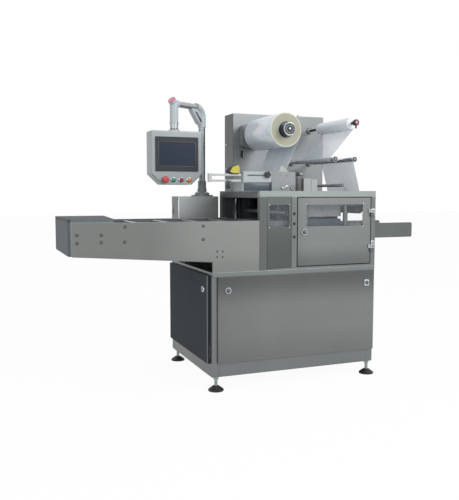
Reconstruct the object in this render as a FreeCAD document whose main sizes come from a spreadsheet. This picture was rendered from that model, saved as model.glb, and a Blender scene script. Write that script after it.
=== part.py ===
import FreeCAD, Part
import math
import os
from types import SimpleNamespace

# Vacuum tray sealer with an infeed chain, a film unwind and a control pendant.
# Millimetres. +X is the way the trays travel, +Y goes into the machine, +Z is up.
# The origin is the middle of the bounding box, on the floor.

Vector = FreeCAD.Vector
doc = FreeCAD.newDocument("TraySealer")

# Driving dimensions
SIZES = {
    # Overall
    "infeed_reach": 760,
    "cabinet_length": 1028,
    "outfeed_reach": 322,
    "cabinet_depth": 770,
    # Lower cabinet
    "frame_bottom": 77,
    "deck_height": 658,
    "deck_fold": 25,
    "tube": 40,
    "bottom_rail": 75,
    "panel_depth": 12,
    "panel_margin": 31,
    "skin": 2,
    "pad_radius": 43,
    "pad_height": 26,
    "nut_height": 12,
    "stem_radius": 9,
    "foot_inset": 28,
    "side_door_margin": 45,
    "side_door_depth": 14,
    "seat_gap": 2,
    # Locks
    "lock_radius": 18,
    "lock_barrel": 11,
    "lock_stand": 10,
    "lock_bevel": 3,
    "lock_drop": 100,
    "lock_left_inset": 89,
    "lock_right_inset": 55,
    "side_lock_y": 104,
    # Upper cabinet
    "upper_left": 277,
    "upper_height": 442,
    "frame_depth": 30,
    "upper_band": 34,
    "upper_sill": 12,
    "left_stile": 45,
    "narrow_width": 150,
    "mid_stile": 36,
    "right_stile": 30,
    "top_sheet": 6,
    "panel_gap": 0.5,
    "door_gap": 5,
    "door_depth": 20,
    "window_drop": 79,
    "window_height": 123,
    "window_margin": 54,
    "narrow_margin": 15,
    "glass": 3,
    "door_lock_drop": 31,
    "door_lock_inset": 39,
    "hinge_drop": 127,
    "hinge_rise": 105,
    "hinge_height": 46,
    "knuckle_radius": 6,
    "leaf_width": 18,
    "leaf_thick": 3,
    # Infeed
    "plate_rise": 279,
    "plate_end_height": 168,
    "plate_mid_height": 221,
    "plate_end_gap": 1,
    "plate_thick": 4,
    "infeed_rear_gap": 122,
    "cover_end": 18,
    "cover_rise": 21,
    "cover_gap": 3,
    "cover_front_length": 228,
    "cover_rear_length": 273,
    "cover_round": 17,
    "plate_flange": 34,
    "chain_width": 34,
    "chain_height": 12,
    "chain_drop": 6,
    "chain_gap": 45,
    "carrier_pitch": 175,
    "bar_end_gap": 41,
    "cross_bar": 24,
    "bed_drop": 38,
    "bed_thick": 5,
    # Outfeed
    "outfeed_front": 80,
    "outfeed_width": 350,
    "outfeed_drop": 30,
    "outfeed_height": 90,
    "outfeed_round": 12,
    "outfeed_inside": 45,
    "outlet_room": 78,
    "belt_radius": 29,
    "belt_side_gap": 0.5,
    # Control box, post and arm
    "box_width": 273,
    "box_depth": 138,
    "box_height": 409,
    "box_round": 10,
    "post_side": 89,
    "post_inset": 70,
    "post_radius": 21.5,
    "flange_radius": 70,
    "flange_thick": 9,
    "sleeve_radius": 27,
    "sleeve_height": 98,
    "head_drop": 121,
    "arm_rise": 558,
    "bend_radius": 60,
    "casting_radius": 26,
    "arm_tube_radius": 19,
    "arm_length": 268,
    "arm_angle": 212.2,
    "elbow_drop": 110,
    "cap_radius": 25,
    "joint_gap": 0.3,
    # Pendant
    "coupling_height": 57,
    "pendant_width": 316,
    "pendant_depth": 112,
    "pendant_main": 258,
    "pendant_drop": 62,
    "pendant_foot": 184,
    "bezel_width": 266,
    "bezel_height": 204,
    "bezel_thick": 7,
    "bezel_drop": 36,
    "screen_width": 220,
    "screen_height": 136,
    "button_rise": 30,
    "button_spacing": 50,
    "button_radius": 14,
    "mushroom_radius": 20,
    # Film housing and its reels
    "housing_left": 368,
    "housing_margin": 6,
    "housing_depth": 145,
    "housing_rise": 494,
    "film_front": 100,
    "film_rear": 145,
    "roll_x": 484,
    "roll_rise": 348,
    "roll_radius": 98,
    "mandrel_radius": 38,
    "spindle_radius": 20,
    "boss_radius": 27,
    "boss_length": 46,
    "boss_shoulder": 8,
    "roll_clearance": 0.2,
    "bracket_depth": 55,
    "waste_inset": 110,
    "waste_rise": 400,
    "waste_radius": 30,
    "waste_shaft": 8,
    "waste_front": 60,
    "roller_left_inset": 243,
    "roller_right_inset": 112,
    "roller_rise": 186,
    "roller_low_gap": 88,
    "roller_low_rise": 33,
    "roller_radius": 12,
    "low_roller_radius": 9,
    "roller_front": 58,
    "roller_flange": 21,
    "roller_flange_thick": 14,
    "film_thick": 0.6,
    "film_clearance": 0.4,
    "slot_width": 30,
    "supply_slot_x": 430,
    "return_slot_inset": 48,
    # Date coder on the cabinet's top
    "coder_left": 200,
    "coder_right": 521,
    "coder_front": 50,
    "coder_depth": 40,
    "coder_bar_rise": 48,
    "coder_bar_height": 59,
    "coder_block_left": 372,
    "coder_knob_x": 343,
    "coder_knob_drop": 17,
    "coder_knob_radius": 19,
    "slide_left": 0,
    "slide_bar": 12,
    "slide_rise": 50,
    "slide_height": 44,
    "sensor_x": 150,
    "sensor_rise": 122,
    "sensor_length": 56,
    # Valves
    "valve_y": 200,
    "valve_left": 598,
    "valve_cylinder_radius": 27,
    "valve_height": 88,
    "valve_block_width": 50,
    # Sealing station
    "column_radius": 14,
    "station_inset": 438,
    "station_length": 290,
    "station_front": 60,
    "station_depth": 390,
    "bridge_drop": 54,
    "bridge_thick": 22,
    "mould_drop": 1,
    "mould_height": 84,
    "seal_gap": 14,
}


class Length:
    """A length that holds its value and the sheet expression that gives it."""

    def __init__(self, number, text):
        self.number = number
        self.text = text

    def joined(self, other, sign, swap=False):
        other = as_length(other)
        first, second = (other, self) if swap else (self, other)
        results = {
            "+": first.number + second.number,
            "-": first.number - second.number,
            "*": first.number * second.number,
        }
        return Length(results[sign], f"({first.text} {sign} {second.text})")

    def __add__(self, other):
        return self.joined(other, "+")

    def __radd__(self, other):
        return self.joined(other, "+", swap=True)

    def __sub__(self, other):
        return self.joined(other, "-")

    def __rsub__(self, other):
        return self.joined(other, "-", swap=True)

    def __mul__(self, other):
        return self.joined(other, "*")

    def __rmul__(self, other):
        return self.joined(other, "*", swap=True)

    def __truediv__(self, other):
        other = as_length(other)
        return Length(self.number / other.number, f"({self.text} / {other.text})")


def as_length(value):
    """Wraps a plain number as a length."""
    return value if isinstance(value, Length) else Length(float(value), f"({value})")


def fill_sheet():
    """Writes the driving dimensions into a sheet and returns them as lengths."""
    sheet = doc.addObject("Spreadsheet::Sheet", "Sizes")
    lengths = {}
    for row, (name, value) in enumerate(SIZES.items(), start=1):
        sheet.set(f"A{row}", name)
        sheet.set(f"B{row}", str(value))
        sheet.setAlias(f"B{row}", name)
        lengths[name] = Length(float(value), f"Sizes.{name}")
    doc.recompute()
    return SimpleNamespace(**lengths)


dim = fill_sheet()
parts = {}

# Planes of the cabinet in the part's frame
cabinet_left = (dim.infeed_reach - dim.cabinet_length - dim.outfeed_reach) / 2
cabinet_right = cabinet_left + dim.cabinet_length
front_plane = dim.cabinet_depth / -2
rear_plane = front_plane + dim.cabinet_depth
upper_start = cabinet_left + dim.upper_left
housing_face = rear_plane - dim.housing_depth

# Heights over the floor
rail_top = dim.deck_height - dim.deck_fold
lock_height = dim.deck_height - dim.lock_drop
upper_top = dim.deck_height + dim.upper_height
window_top = upper_top - dim.window_drop
window_bottom = window_top - dim.window_height
door_lock_height = window_bottom - dim.door_lock_drop
plate_top = dim.deck_height + dim.plate_rise
plate_end_bottom = plate_top - dim.plate_end_height
plate_mid_bottom = plate_top - dim.plate_mid_height
outfeed_top = plate_top - dim.outfeed_drop
outfeed_bottom = outfeed_top - dim.outfeed_height
box_top = dim.deck_height + dim.box_height
arm_height = box_top + dim.arm_rise
head_bottom = arm_height - dim.head_drop
elbow_bottom = arm_height - dim.elbow_drop
pendant_top = elbow_bottom - dim.coupling_height
housing_top = upper_top + dim.housing_rise
roll_z = upper_top + dim.roll_rise
waste_z = upper_top + dim.waste_rise
roller_z = upper_top + dim.roller_rise
coder_bar_bottom = upper_top + dim.coder_bar_rise
slide_bottom = upper_top + dim.slide_rise
slide_top = slide_bottom + dim.slide_height
bridge_bottom = upper_top - dim.bridge_drop
mould_top = plate_top - dim.mould_drop

# Depths and lengths that fit between other pieces
box_front = rear_plane - dim.box_depth
infeed_width = dim.cabinet_depth - dim.box_depth - dim.infeed_rear_gap
film_y = front_plane + dim.film_front
film_width = dim.cabinet_depth - dim.housing_depth - dim.film_front - dim.film_rear
station_left = cabinet_right - dim.station_inset

X_TURN = FreeCAD.Rotation(Vector(0, 1, 0), 90)
Y_TURN = FreeCAD.Rotation(Vector(1, 0, 0), -90)
NO_TURN = FreeCAD.Rotation()
TURNS = {"x": X_TURN, "y": Y_TURN, "z": NO_TURN}


def bind(thing, **lengths):
    """Binds properties of an object to sheet expressions."""
    for name, value in lengths.items():
        thing.setExpression(name, as_length(value).text)


def place(thing, x, y, z, turn=NO_TURN):
    """Puts an object at a bound position."""
    thing.Placement = FreeCAD.Placement(Vector(0, 0, 0), turn)
    for axis, value in zip("xyz", (x, y, z)):
        thing.setExpression(f"Placement.Base.{axis}", as_length(value).text)


def keep(label, thing):
    """Registers a finished sub-part under the name of its file."""
    thing.Label = label
    parts[label] = thing
    return thing


def block(x, y, z, length, width, height):
    """A box from its low corner."""
    thing = doc.addObject("Part::Box", "Block")
    bind(thing, Length=length, Width=width, Height=height)
    place(thing, x, y, z)
    return thing


def rod(x, y, z, radius, height, axis="z", turn=None):
    """A cylinder from the middle of its first end, along an axis."""
    thing = doc.addObject("Part::Cylinder", "Rod")
    bind(thing, Radius=radius, Height=height)
    place(thing, x, y, z, TURNS[axis] if turn is None else turn)
    return thing


def group(pieces):
    """Solids of one sub-part that don't touch."""
    thing = doc.addObject("Part::Compound", "Group")
    thing.Links = pieces
    return thing


def fused(pieces):
    """Solids of one sub-part that are joined."""
    thing = doc.addObject("Part::MultiFuse", "Joined")
    thing.Shapes = pieces
    return thing


def without(base, tool):
    """A solid with another one cut away."""
    thing = doc.addObject("Part::Cut", "Cut")
    thing.Base = base
    thing.Tool = tool
    return thing


def bodied(x, y, z, turn=NO_TURN):
    """An empty PartDesign body at a bound position."""
    body = doc.addObject("PartDesign::Body", "Body")
    place(body, x, y, z, turn)
    return body


def plane_of(body, role):
    """One of a body's own origin planes."""
    return next(plane for plane in body.Origin.OriginFeatures if plane.Role == role)


def sketch_on(body, role, loops, offset=0):
    """A closed sketch of polygons and circles, each point bound to the sheet.

    A polygon is a list of (across, up) pairs, a circle is ("circle", across, up, radius).
    """
    sketch = body.newObject("Sketcher::SketchObject", "Profile")
    sketch.AttachmentSupport = [(plane_of(body, role), "")]
    sketch.MapMode = "FlatFace"
    sketch.AttachmentOffset = FreeCAD.Placement(Vector(0, 0, 0), NO_TURN)
    sketch.setExpression("AttachmentOffset.Base.z", as_length(offset).text)
    for loop in loops:
        if loop[0] == "circle":
            add_circle(sketch, *loop[1:])
        else:
            add_polygon(sketch, loop)
    return sketch


def pin_point(sketch, curve, vertex, across, up):
    """Ties a sketch point to two expressions, measured from the sketch's origin."""
    for kind, value in (("DistanceX", as_length(across)), ("DistanceY", as_length(up))):
        if value.number == 0:
            axis = -2 if kind == "DistanceX" else -1
            sketch.addConstraint(sketcher_constraint("PointOnObject", curve, vertex, axis))
        else:
            index = sketch.addConstraint(
                sketcher_constraint(kind, -1, 1, curve, vertex, value.number))
            sketch.setExpression(f"Constraints[{index}]", value.text)


def sketcher_constraint(*values):
    """One sketch constraint."""
    import Sketcher
    return Sketcher.Constraint(*values)


def add_polygon(sketch, points):
    """Adds a closed polygon with every corner tied down."""
    points = [(as_length(across), as_length(up)) for across, up in points]
    corners = [Vector(across.number, up.number, 0) for across, up in points]
    first = sketch.GeometryCount
    count = len(corners)
    for index in range(count):
        line = Part.LineSegment(corners[index], corners[(index + 1) % count])
        sketch.addGeometry(line, False)
    for index in range(count):
        following = first + (index + 1) % count
        sketch.addConstraint(
            sketcher_constraint("Coincident", first + index, 2, following, 1))
    for index, (across, up) in enumerate(points):
        pin_point(sketch, first + index, 1, across, up)


def add_circle(sketch, across, up, radius):
    """Adds a circle with its centre and radius tied down."""
    across, up, radius = as_length(across), as_length(up), as_length(radius)
    centre = Vector(across.number, up.number, 0)
    circle = Part.Circle(centre, Vector(0, 0, 1), radius.number)
    curve = sketch.addGeometry(circle, False)
    index = sketch.addConstraint(sketcher_constraint("Radius", curve, radius.number))
    sketch.setExpression(f"Constraints[{index}]", radius.text)
    pin_point(sketch, curve, 3, across, up)


def rectangle(x, y, length, width):
    """The corners of a rectangle from its low corner."""
    return [(x, y), (x + length, y), (x + length, y + width), (x, y + width)]


def padded(body, role, loops, depth, start=0):
    """Pads a sketch along its plane's positive axis, from a start offset."""
    against = role == "XZ_Plane"
    offset = -1 * as_length(start) if against else start
    sketch = sketch_on(body, role, loops, offset)
    pad = body.newObject("PartDesign::Pad", "Pad")
    pad.Profile = sketch
    pad.setExpression("Length", as_length(depth).text)
    pad.Reversed = against
    doc.recompute()
    return pad


def hollowed(body, role, loops, depth, start=0):
    """Cuts a sketch along its plane's positive axis, from a start offset."""
    before = body.Tip.Shape.Volume
    against = role == "XZ_Plane"
    offset = -1 * as_length(start) if against else start
    sketch = sketch_on(body, role, loops, offset)
    pocket = body.newObject("PartDesign::Pocket", "Pocket")
    pocket.Profile = sketch
    pocket.setExpression("Length", as_length(depth).text)
    pocket.Reversed = not against
    doc.recompute()
    if not pocket.Shape.Volume < before:
        raise ValueError("the pocket cuts nothing")
    return pocket


def edges_where(shape, test):
    """Names of the edges whose bounding box passes a test."""
    return [f"Edge{number}" for number, edge in enumerate(shape.Edges, start=1)
            if test(edge.BoundBox)]


def rounded(body, test, radius):
    """Fillets the edges of a body that pass a test on their bounding box."""
    tip = body.Tip
    names = edges_where(tip.Shape, test)
    if not names:
        raise ValueError("no edge to round")
    fillet = body.newObject("PartDesign::Fillet", "Round")
    fillet.Base = (tip, names)
    fillet.setExpression("Radius", as_length(radius).text)
    doc.recompute()
    return fillet


def upright(box):
    """True for an edge along Z."""
    return box.XLength < 0.01 and box.YLength < 0.01


def along_y(box):
    """True for an edge along Y."""
    return box.XLength < 0.01 and box.ZLength < 0.01


def turned(profile, x, y, z, axis="z"):
    """A solid of revolution from (radius, height) pairs, along an axis from its base."""
    body = bodied(x, y, z, TURNS[axis])
    sketch = sketch_on(body, "XZ_Plane", [profile])
    spin = body.newObject("PartDesign::Revolution", "Turned")
    spin.Profile = sketch
    spin.ReferenceAxis = (sketch, ["V_Axis"])
    spin.Angle = 360
    doc.recompute()
    return body


# Lower cabinet
def make_base():
    """Welded tube frame, its folded deck, its fixed panels and its feet."""
    posts_left = cabinet_left
    posts_right = cabinet_right - dim.tube
    posts_front = front_plane + dim.panel_depth
    posts_rear = rear_plane - dim.tube
    post_height = rail_top - dim.frame_bottom
    keep("base_posts", group([
        block(x, y, dim.frame_bottom, dim.tube, dim.tube, post_height)
        for x in (posts_left, posts_right) for y in (posts_front, posts_rear)]))
    span_x = dim.cabinet_length - 2 * dim.tube
    span_y = dim.cabinet_depth - dim.panel_depth - 2 * dim.tube
    rails = []
    for z, height in ((dim.frame_bottom, dim.bottom_rail), (rail_top - dim.tube, dim.tube)):
        for y in (posts_front, posts_rear):
            rails.append(block(posts_left + dim.tube, y, z, span_x, dim.tube, height))
        for x in (posts_left, posts_right):
            rails.append(block(x, posts_front + dim.tube, z, dim.tube, span_y, height))
    keep("base_rails", group(rails))
    deck = bodied(cabinet_left, front_plane, rail_top)
    padded(deck, "XY_Plane", [rectangle(as_length(0), as_length(0), dim.cabinet_length,
                                        dim.cabinet_depth)], dim.deck_fold)
    hollowed(deck, "XY_Plane", [rectangle(dim.skin, dim.skin, dim.cabinet_length - 2 * dim.skin,
                                          dim.cabinet_depth - 2 * dim.skin)],
             dim.deck_fold - dim.skin)
    keep("deck_plate", deck)
    panel_bottom = dim.frame_bottom + dim.bottom_rail + dim.seat_gap
    panel_left = cabinet_left + dim.panel_margin
    panel = bodied(panel_left, front_plane, panel_bottom)
    panel_width = dim.cabinet_length - dim.panel_margin - dim.skin
    panel_height = rail_top - dim.seat_gap / 2 - panel_bottom
    locks_up = lock_height - panel_bottom
    lock_places = (dim.lock_left_inset, dim.cabinet_length - dim.lock_right_inset)
    holes = [("circle", x - dim.panel_margin, locks_up, dim.lock_barrel) for x in lock_places]
    padded(panel, "XZ_Plane",
           [rectangle(as_length(0), as_length(0), panel_width, panel_height)] + holes,
           dim.panel_depth)
    keep("lower_front_panel", panel)
    keep("lower_panel_locks", group([
        lock(cabinet_left + x, front_plane, lock_height) for x in lock_places]))
    side_height = panel_height
    right_panel = block(cabinet_right, front_plane + dim.side_door_margin, panel_bottom,
                        dim.panel_depth, dim.cabinet_depth - 2 * dim.side_door_margin,
                        side_height)
    rear_panel = block(cabinet_left + dim.panel_margin, rear_plane, panel_bottom,
                       dim.cabinet_length - 2 * dim.panel_margin, dim.panel_depth / 2,
                       side_height)
    keep("lower_panels", group([right_panel, rear_panel]))
    feet = []
    for x in (cabinet_left + dim.foot_inset, cabinet_right - dim.foot_inset):
        for y in (front_plane + dim.foot_inset, rear_plane - dim.foot_inset):
            feet.append(foot(x, y))
    keep("levelling_feet", group(feet))


def lock(x, y, z, axis="y"):
    """A quarter-turn lock: a domed head in front of the sheet and a barrel through it."""
    head = as_length(0) - dim.lock_stand
    barrel = dim.panel_depth - dim.seat_gap / 4
    profile = [(0, head), (dim.lock_radius * 0.8, head), (dim.lock_radius, head + dim.lock_bevel),
               (dim.lock_radius, 0), (dim.lock_barrel, 0), (dim.lock_barrel, barrel),
               (0, barrel)]
    return turned(profile, x, y, z, axis)


def foot(x, y):
    """A levelling foot: a rubber cone, a locknut and a stem up to the frame."""
    nut = dim.stem_radius * 1.6
    rise = dim.pad_height
    profile = [(0, 0), (dim.pad_radius, 0), (dim.pad_radius, rise * 0.3),
               (nut * 1.3, rise), (dim.stem_radius, rise),
               (dim.stem_radius, dim.frame_bottom - dim.nut_height),
               (nut, dim.frame_bottom - dim.nut_height),
               (nut, dim.frame_bottom), (0, dim.frame_bottom)]
    return turned(profile, x, y, 0)


def make_side_door():
    """Folded door of the left end, hinged at the rear."""
    bottom = dim.frame_bottom + dim.bottom_rail - dim.seat_gap * 2
    height = rail_top + dim.seat_gap * 4 - bottom
    width = dim.cabinet_depth - dim.side_door_margin - dim.door_gap
    left = cabinet_left - dim.seat_gap - dim.side_door_depth
    door = bodied(left, front_plane + dim.side_door_margin, bottom)
    up = lock_height - bottom
    across = dim.side_lock_y - dim.side_door_margin
    padded(door, "YZ_Plane",
           [rectangle(as_length(0), as_length(0), width, height),
            ("circle", across, up, dim.lock_barrel)], dim.side_door_depth)
    hollowed(door, "YZ_Plane",
             [rectangle(dim.skin, dim.skin, width - 2 * dim.skin, height - 2 * dim.skin)],
             dim.side_door_depth - dim.skin, start=dim.skin)
    keep("left_door", door)
    keep("left_door_lock", lock(left, front_plane + dim.side_lock_y, lock_height, "x"))
    pin_x = left + dim.side_door_depth / 2
    pin_y = front_plane + dim.side_door_margin + width + dim.door_gap
    hinges = []
    for z in (bottom + dim.hinge_height, bottom + height - 2 * dim.hinge_height):
        knuckle = rod(pin_x, pin_y, z, dim.knuckle_radius * 0.8, dim.hinge_height)
        leaf = block(pin_x, pin_y - dim.leaf_thick / 2, z, cabinet_left - pin_x,
                     dim.leaf_thick, dim.hinge_height)
        hinges.append(fused([knuckle, leaf]))
    return hinges


# Upper cabinet
upper_length = dim.cabinet_length - dim.upper_left
frame_top = upper_top - dim.top_sheet
sill = dim.deck_height + dim.upper_sill
lintel = upper_top - dim.upper_band
opening_height = lintel - sill
narrow_start = upper_start + dim.left_stile
door_start = narrow_start + dim.narrow_width + dim.mid_stile
door_opening = upper_length - dim.left_stile - dim.narrow_width - dim.mid_stile - dim.right_stile
door_left = door_start + dim.door_gap
door_width = door_opening - 2 * dim.door_gap
door_right = door_left + door_width
door_bottom = sill + dim.door_gap
door_height = opening_height - 2 * dim.door_gap


def make_upper():
    """Front frame, side frame, panels and top sheet of the sealing cabinet."""
    front = bodied(upper_start, front_plane, dim.deck_height)
    zero = as_length(0)
    padded(front, "XZ_Plane", [
        rectangle(zero, zero, upper_length, upper_top - dim.deck_height),
        rectangle(dim.left_stile, dim.upper_sill, dim.narrow_width, opening_height),
        rectangle(dim.left_stile + dim.narrow_width + dim.mid_stile, dim.upper_sill,
                  door_opening, opening_height),
    ], dim.frame_depth)
    keep("upper_front_frame", front)
    side_depth = housing_face - front_plane - dim.frame_depth
    side_top = frame_top - dim.deck_height
    side_y = front_plane + dim.frame_depth
    left = bodied(upper_start, side_y, dim.deck_height)
    padded(left, "YZ_Plane", [[
        (zero, side_top - dim.upper_band), (side_depth - dim.tube, side_top - dim.upper_band),
        (side_depth - dim.tube, zero), (side_depth, zero), (side_depth, side_top),
        (zero, side_top)]], dim.frame_depth)
    keep("upper_left_frame", left)
    right = bodied(cabinet_right - dim.top_sheet, side_y, dim.deck_height)
    padded(right, "YZ_Plane", [
        rectangle(zero, zero, side_depth, side_top),
        rectangle(dim.outfeed_front - dim.frame_depth - dim.panel_gap,
                  outfeed_bottom - dim.deck_height - dim.panel_gap,
                  dim.outfeed_width + 2 * dim.panel_gap,
                  dim.outfeed_height + dim.outlet_room + dim.panel_gap),
    ], dim.top_sheet)
    filler_x = upper_start + dim.frame_depth
    filler = block(filler_x, housing_face - dim.top_sheet, dim.deck_height,
                   cabinet_left + dim.housing_left - filler_x, dim.top_sheet, side_top)
    keep("upper_panels", group([right, filler]))
    top = bodied(upper_start, side_y, frame_top)
    slot_y = dim.film_front - dim.frame_depth - dim.door_gap
    slot_span = film_width + 2 * dim.door_gap
    padded(top, "XY_Plane", [
        rectangle(zero, zero, upper_length, side_depth),
        rectangle(dim.supply_slot_x - dim.upper_left - dim.slot_width / 2, slot_y,
                  dim.slot_width, slot_span),
        rectangle(upper_length - dim.return_slot_inset - dim.slot_width / 2, slot_y,
                  dim.slot_width, slot_span),
    ], dim.top_sheet)
    keep("top_plate", top)


def make_front_panels(side_hinges):
    """Fixed window panel and the hinged door with its window, lock and hinges."""
    zero = as_length(0)
    gap = dim.panel_gap
    panel = bodied(narrow_start + gap, front_plane, sill + gap)
    width = dim.narrow_width - 2 * gap
    up = window_bottom - sill - gap
    padded(panel, "XZ_Plane", [
        rectangle(zero, zero, width, opening_height - 2 * gap),
        rectangle(dim.narrow_margin, up, width - 2 * dim.narrow_margin, dim.window_height),
    ], dim.glass)
    keep("narrow_panel", panel)
    border = dim.narrow_margin - dim.glass
    keep("narrow_window", block(
        narrow_start + gap + border, front_plane + dim.glass, window_bottom - dim.glass,
        width - 2 * border, dim.glass, dim.window_height + 2 * dim.glass))
    door = bodied(door_left, front_plane, door_bottom)
    up = window_bottom - door_bottom
    window_width = door_width - 2 * dim.window_margin
    padded(door, "XZ_Plane", [
        rectangle(zero, zero, door_width, door_height),
        rectangle(dim.window_margin, up, window_width, dim.window_height),
        ("circle", dim.door_lock_inset, door_lock_height - door_bottom, dim.lock_barrel),
    ], dim.skin)
    rim = dim.skin
    padded(door, "XZ_Plane", [
        rectangle(zero, zero, door_width, door_height),
        rectangle(rim, rim, door_width - 2 * rim, door_height - 2 * rim),
    ], dim.door_depth)
    keep("front_door", door)
    edge = dim.window_margin - dim.glass * 4
    keep("door_window", block(
        door_left + edge, front_plane + dim.skin, window_bottom - dim.glass * 4,
        door_width - 2 * edge, dim.glass, dim.window_height + 8 * dim.glass))
    keep("door_lock", lock(door_left + dim.door_lock_inset, front_plane,
                           door_lock_height))
    make_hinges(side_hinges)


def make_hinges(side_hinges):
    """Two butt hinges: a leaf and half of the knuckle on the door, the rest on the frame."""
    pin_x = door_right + dim.door_gap / 2
    pin_y = front_plane - dim.knuckle_radius - dim.seat_gap / 2
    half = dim.hinge_height / 2 - dim.joint_gap
    door_side = []
    frame_side = []
    for middle in (dim.deck_height + dim.hinge_rise, upper_top - dim.hinge_drop):
        low = middle - dim.hinge_height / 2
        high = middle + dim.joint_gap
        for bottom, start, pieces in (
                (high, pin_x - dim.leaf_width, door_side), (low, pin_x, frame_side)):
            knuckle = rod(pin_x, pin_y, bottom, dim.knuckle_radius, half)
            web = block(start, pin_y, bottom, dim.leaf_width,
                        front_plane - pin_y, half)
            cutter = rod(pin_x, pin_y, bottom, dim.knuckle_radius, half)
            pieces.append(fused([knuckle, without(web, cutter)]))
    keep("door_hinges", group(door_side))
    keep("frame_hinges", group(frame_side + side_hinges))


# Infeed
CROSS_BARS = 6


def infeed_profile():
    """Outline of an infeed side plate, from the cabinet's left end and the floor."""
    far = dim.cover_end - dim.infeed_reach
    zero = as_length(0)
    return [(far, plate_end_bottom), (zero, plate_mid_bottom),
            (zero, dim.deck_height), (dim.upper_left - dim.plate_end_gap, dim.deck_height),
            (dim.upper_left - dim.plate_end_gap, plate_top), (far, plate_top)]


def make_infeed():
    """Side plates, bottom pan, hood, carrier chain and bed of the infeed."""
    rear = front_plane + infeed_width - dim.plate_thick
    far = dim.cover_end - dim.infeed_reach
    flange = rectangle(far, plate_top - dim.plate_thick, dim.upper_left - dim.plate_end_gap - far,
                       dim.plate_thick)
    plates = []
    for y, inward in ((front_plane, 0), (rear, dim.plate_thick - dim.plate_flange)):
        plate = bodied(cabinet_left, y, 0)
        padded(plate, "XZ_Plane", [infeed_profile()], dim.plate_thick)
        padded(plate, "XZ_Plane", [flange], dim.plate_flange, start=inward)
        plates.append(plate)
    keep("infeed_side_plates", group(plates))
    inside = infeed_width - 2 * dim.plate_thick
    inside_y = front_plane + dim.plate_thick
    pan = bodied(cabinet_left, inside_y, 0)
    zero = as_length(0)
    padded(pan, "XZ_Plane", [[
        (far, plate_end_bottom), (zero, plate_mid_bottom),
        (zero, plate_mid_bottom + dim.plate_thick),
        (far, plate_end_bottom + dim.plate_thick)]], inside)
    keep("infeed_bottom_pan", pan)
    cover = bodied(cabinet_left - dim.infeed_reach, front_plane, 0)
    padded(cover, "XY_Plane", [[
        (zero, zero), (dim.cover_front_length, zero),
        (dim.cover_rear_length, infeed_width), (zero, infeed_width)]],
        dim.cover_rise, start=plate_top)
    padded(cover, "XY_Plane", [rectangle(zero, zero, dim.cover_end, infeed_width)],
           dim.plate_end_height - dim.cover_gap, start=plate_end_bottom + dim.cover_gap)
    body_x = cover.Tip.Shape.BoundBox.XMin
    body_y = cover.Tip.Shape.BoundBox.YMin
    rounded(cover, lambda box: upright(box) and abs(box.XMin - body_x) < 0.1
            and abs(box.YMin - body_y) < 0.1, dim.cover_round)
    keep("infeed_end_cover", cover)
    make_carriers(inside_y, inside)


def make_carriers(inside_y, inside):
    """Side chains, cross bars and the bed that carries them."""
    start = cabinet_left + dim.cover_end - dim.infeed_reach
    length = station_left - dim.chain_gap - start
    chain_z = plate_top - dim.chain_drop - dim.chain_height
    near_chain = front_plane + dim.plate_flange + dim.seat_gap
    far_chain = inside_y + inside - (near_chain - inside_y) - dim.chain_width
    keep("carrier_chains", group([
        block(start, y, chain_z, length, dim.chain_width, dim.chain_height)
        for y in (near_chain, far_chain)]))
    bar_y = near_chain + dim.chain_width
    last = start + length - dim.bar_end_gap - dim.cross_bar
    keep("cross_bars", group([
        block(last - index * dim.carrier_pitch, bar_y, chain_z, dim.cross_bar,
              far_chain - bar_y, dim.chain_height) for index in range(CROSS_BARS)]))
    bed_z = plate_top - dim.bed_drop
    open_length = upper_start - dim.plate_end_gap - start
    bed = block(start, inside_y, bed_z, open_length, inside, dim.bed_thick)
    tongue = block(start, near_chain, bed_z, length, far_chain + dim.chain_width - near_chain,
                   dim.bed_thick)
    ledges = [block(start, y, bed_z + dim.bed_thick, length, dim.chain_width / 2,
                    chain_z - bed_z - dim.bed_thick)
              for y in (near_chain, far_chain + dim.chain_width / 2)]
    keep("tray_bed", fused([bed, tongue] + ledges))


# Outfeed
def make_outfeed():
    """Side plates and belt of the short outfeed."""
    start = cabinet_right - dim.outfeed_inside
    length = dim.outfeed_inside + dim.outfeed_reach
    front = front_plane + dim.outfeed_front
    rear = front + dim.outfeed_width - dim.plate_thick
    plates = []
    zero = as_length(0)
    height = dim.outfeed_height
    for y in (front, rear):
        plate = bodied(start, y, outfeed_bottom)
        padded(plate, "XZ_Plane", [rectangle(zero, zero, length, height)], dim.plate_thick)
        right = plate.Tip.Shape.BoundBox.XMax
        rounded(plate, lambda box, right=right: along_y(box) and abs(box.XMax - right) < 0.1,
                dim.outfeed_round)
        plates.append(plate)
    keep("outfeed_side_plates", group(plates))
    middle = outfeed_bottom + height / 2
    belt_y = front + dim.plate_thick + dim.belt_side_gap
    belt_width = dim.outfeed_width - 2 * dim.plate_thick - 2 * dim.belt_side_gap
    first = start + dim.belt_radius + dim.door_gap
    last = cabinet_right + dim.outfeed_reach - dim.belt_radius - dim.door_gap
    keep("outfeed_belt", fused([
        rod(first, belt_y, middle, dim.belt_radius, belt_width, "y"),
        rod(last, belt_y, middle, dim.belt_radius, belt_width, "y"),
        block(first, belt_y, middle - dim.belt_radius, last - first, belt_width,
              2 * dim.belt_radius)]))


# Control box, post and swivelling arm
post_x = cabinet_left + dim.box_width - dim.post_side
post_y = rear_plane - dim.post_inset
arm_turn = FreeCAD.Rotation(Vector(0, 0, 1), SIZES["arm_angle"])
reach_x = dim.arm_length * math.cos(math.radians(SIZES["arm_angle"]))
reach_y = dim.arm_length * math.sin(math.radians(SIZES["arm_angle"]))
hang_x = post_x + reach_x
hang_y = post_y + reach_y


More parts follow.
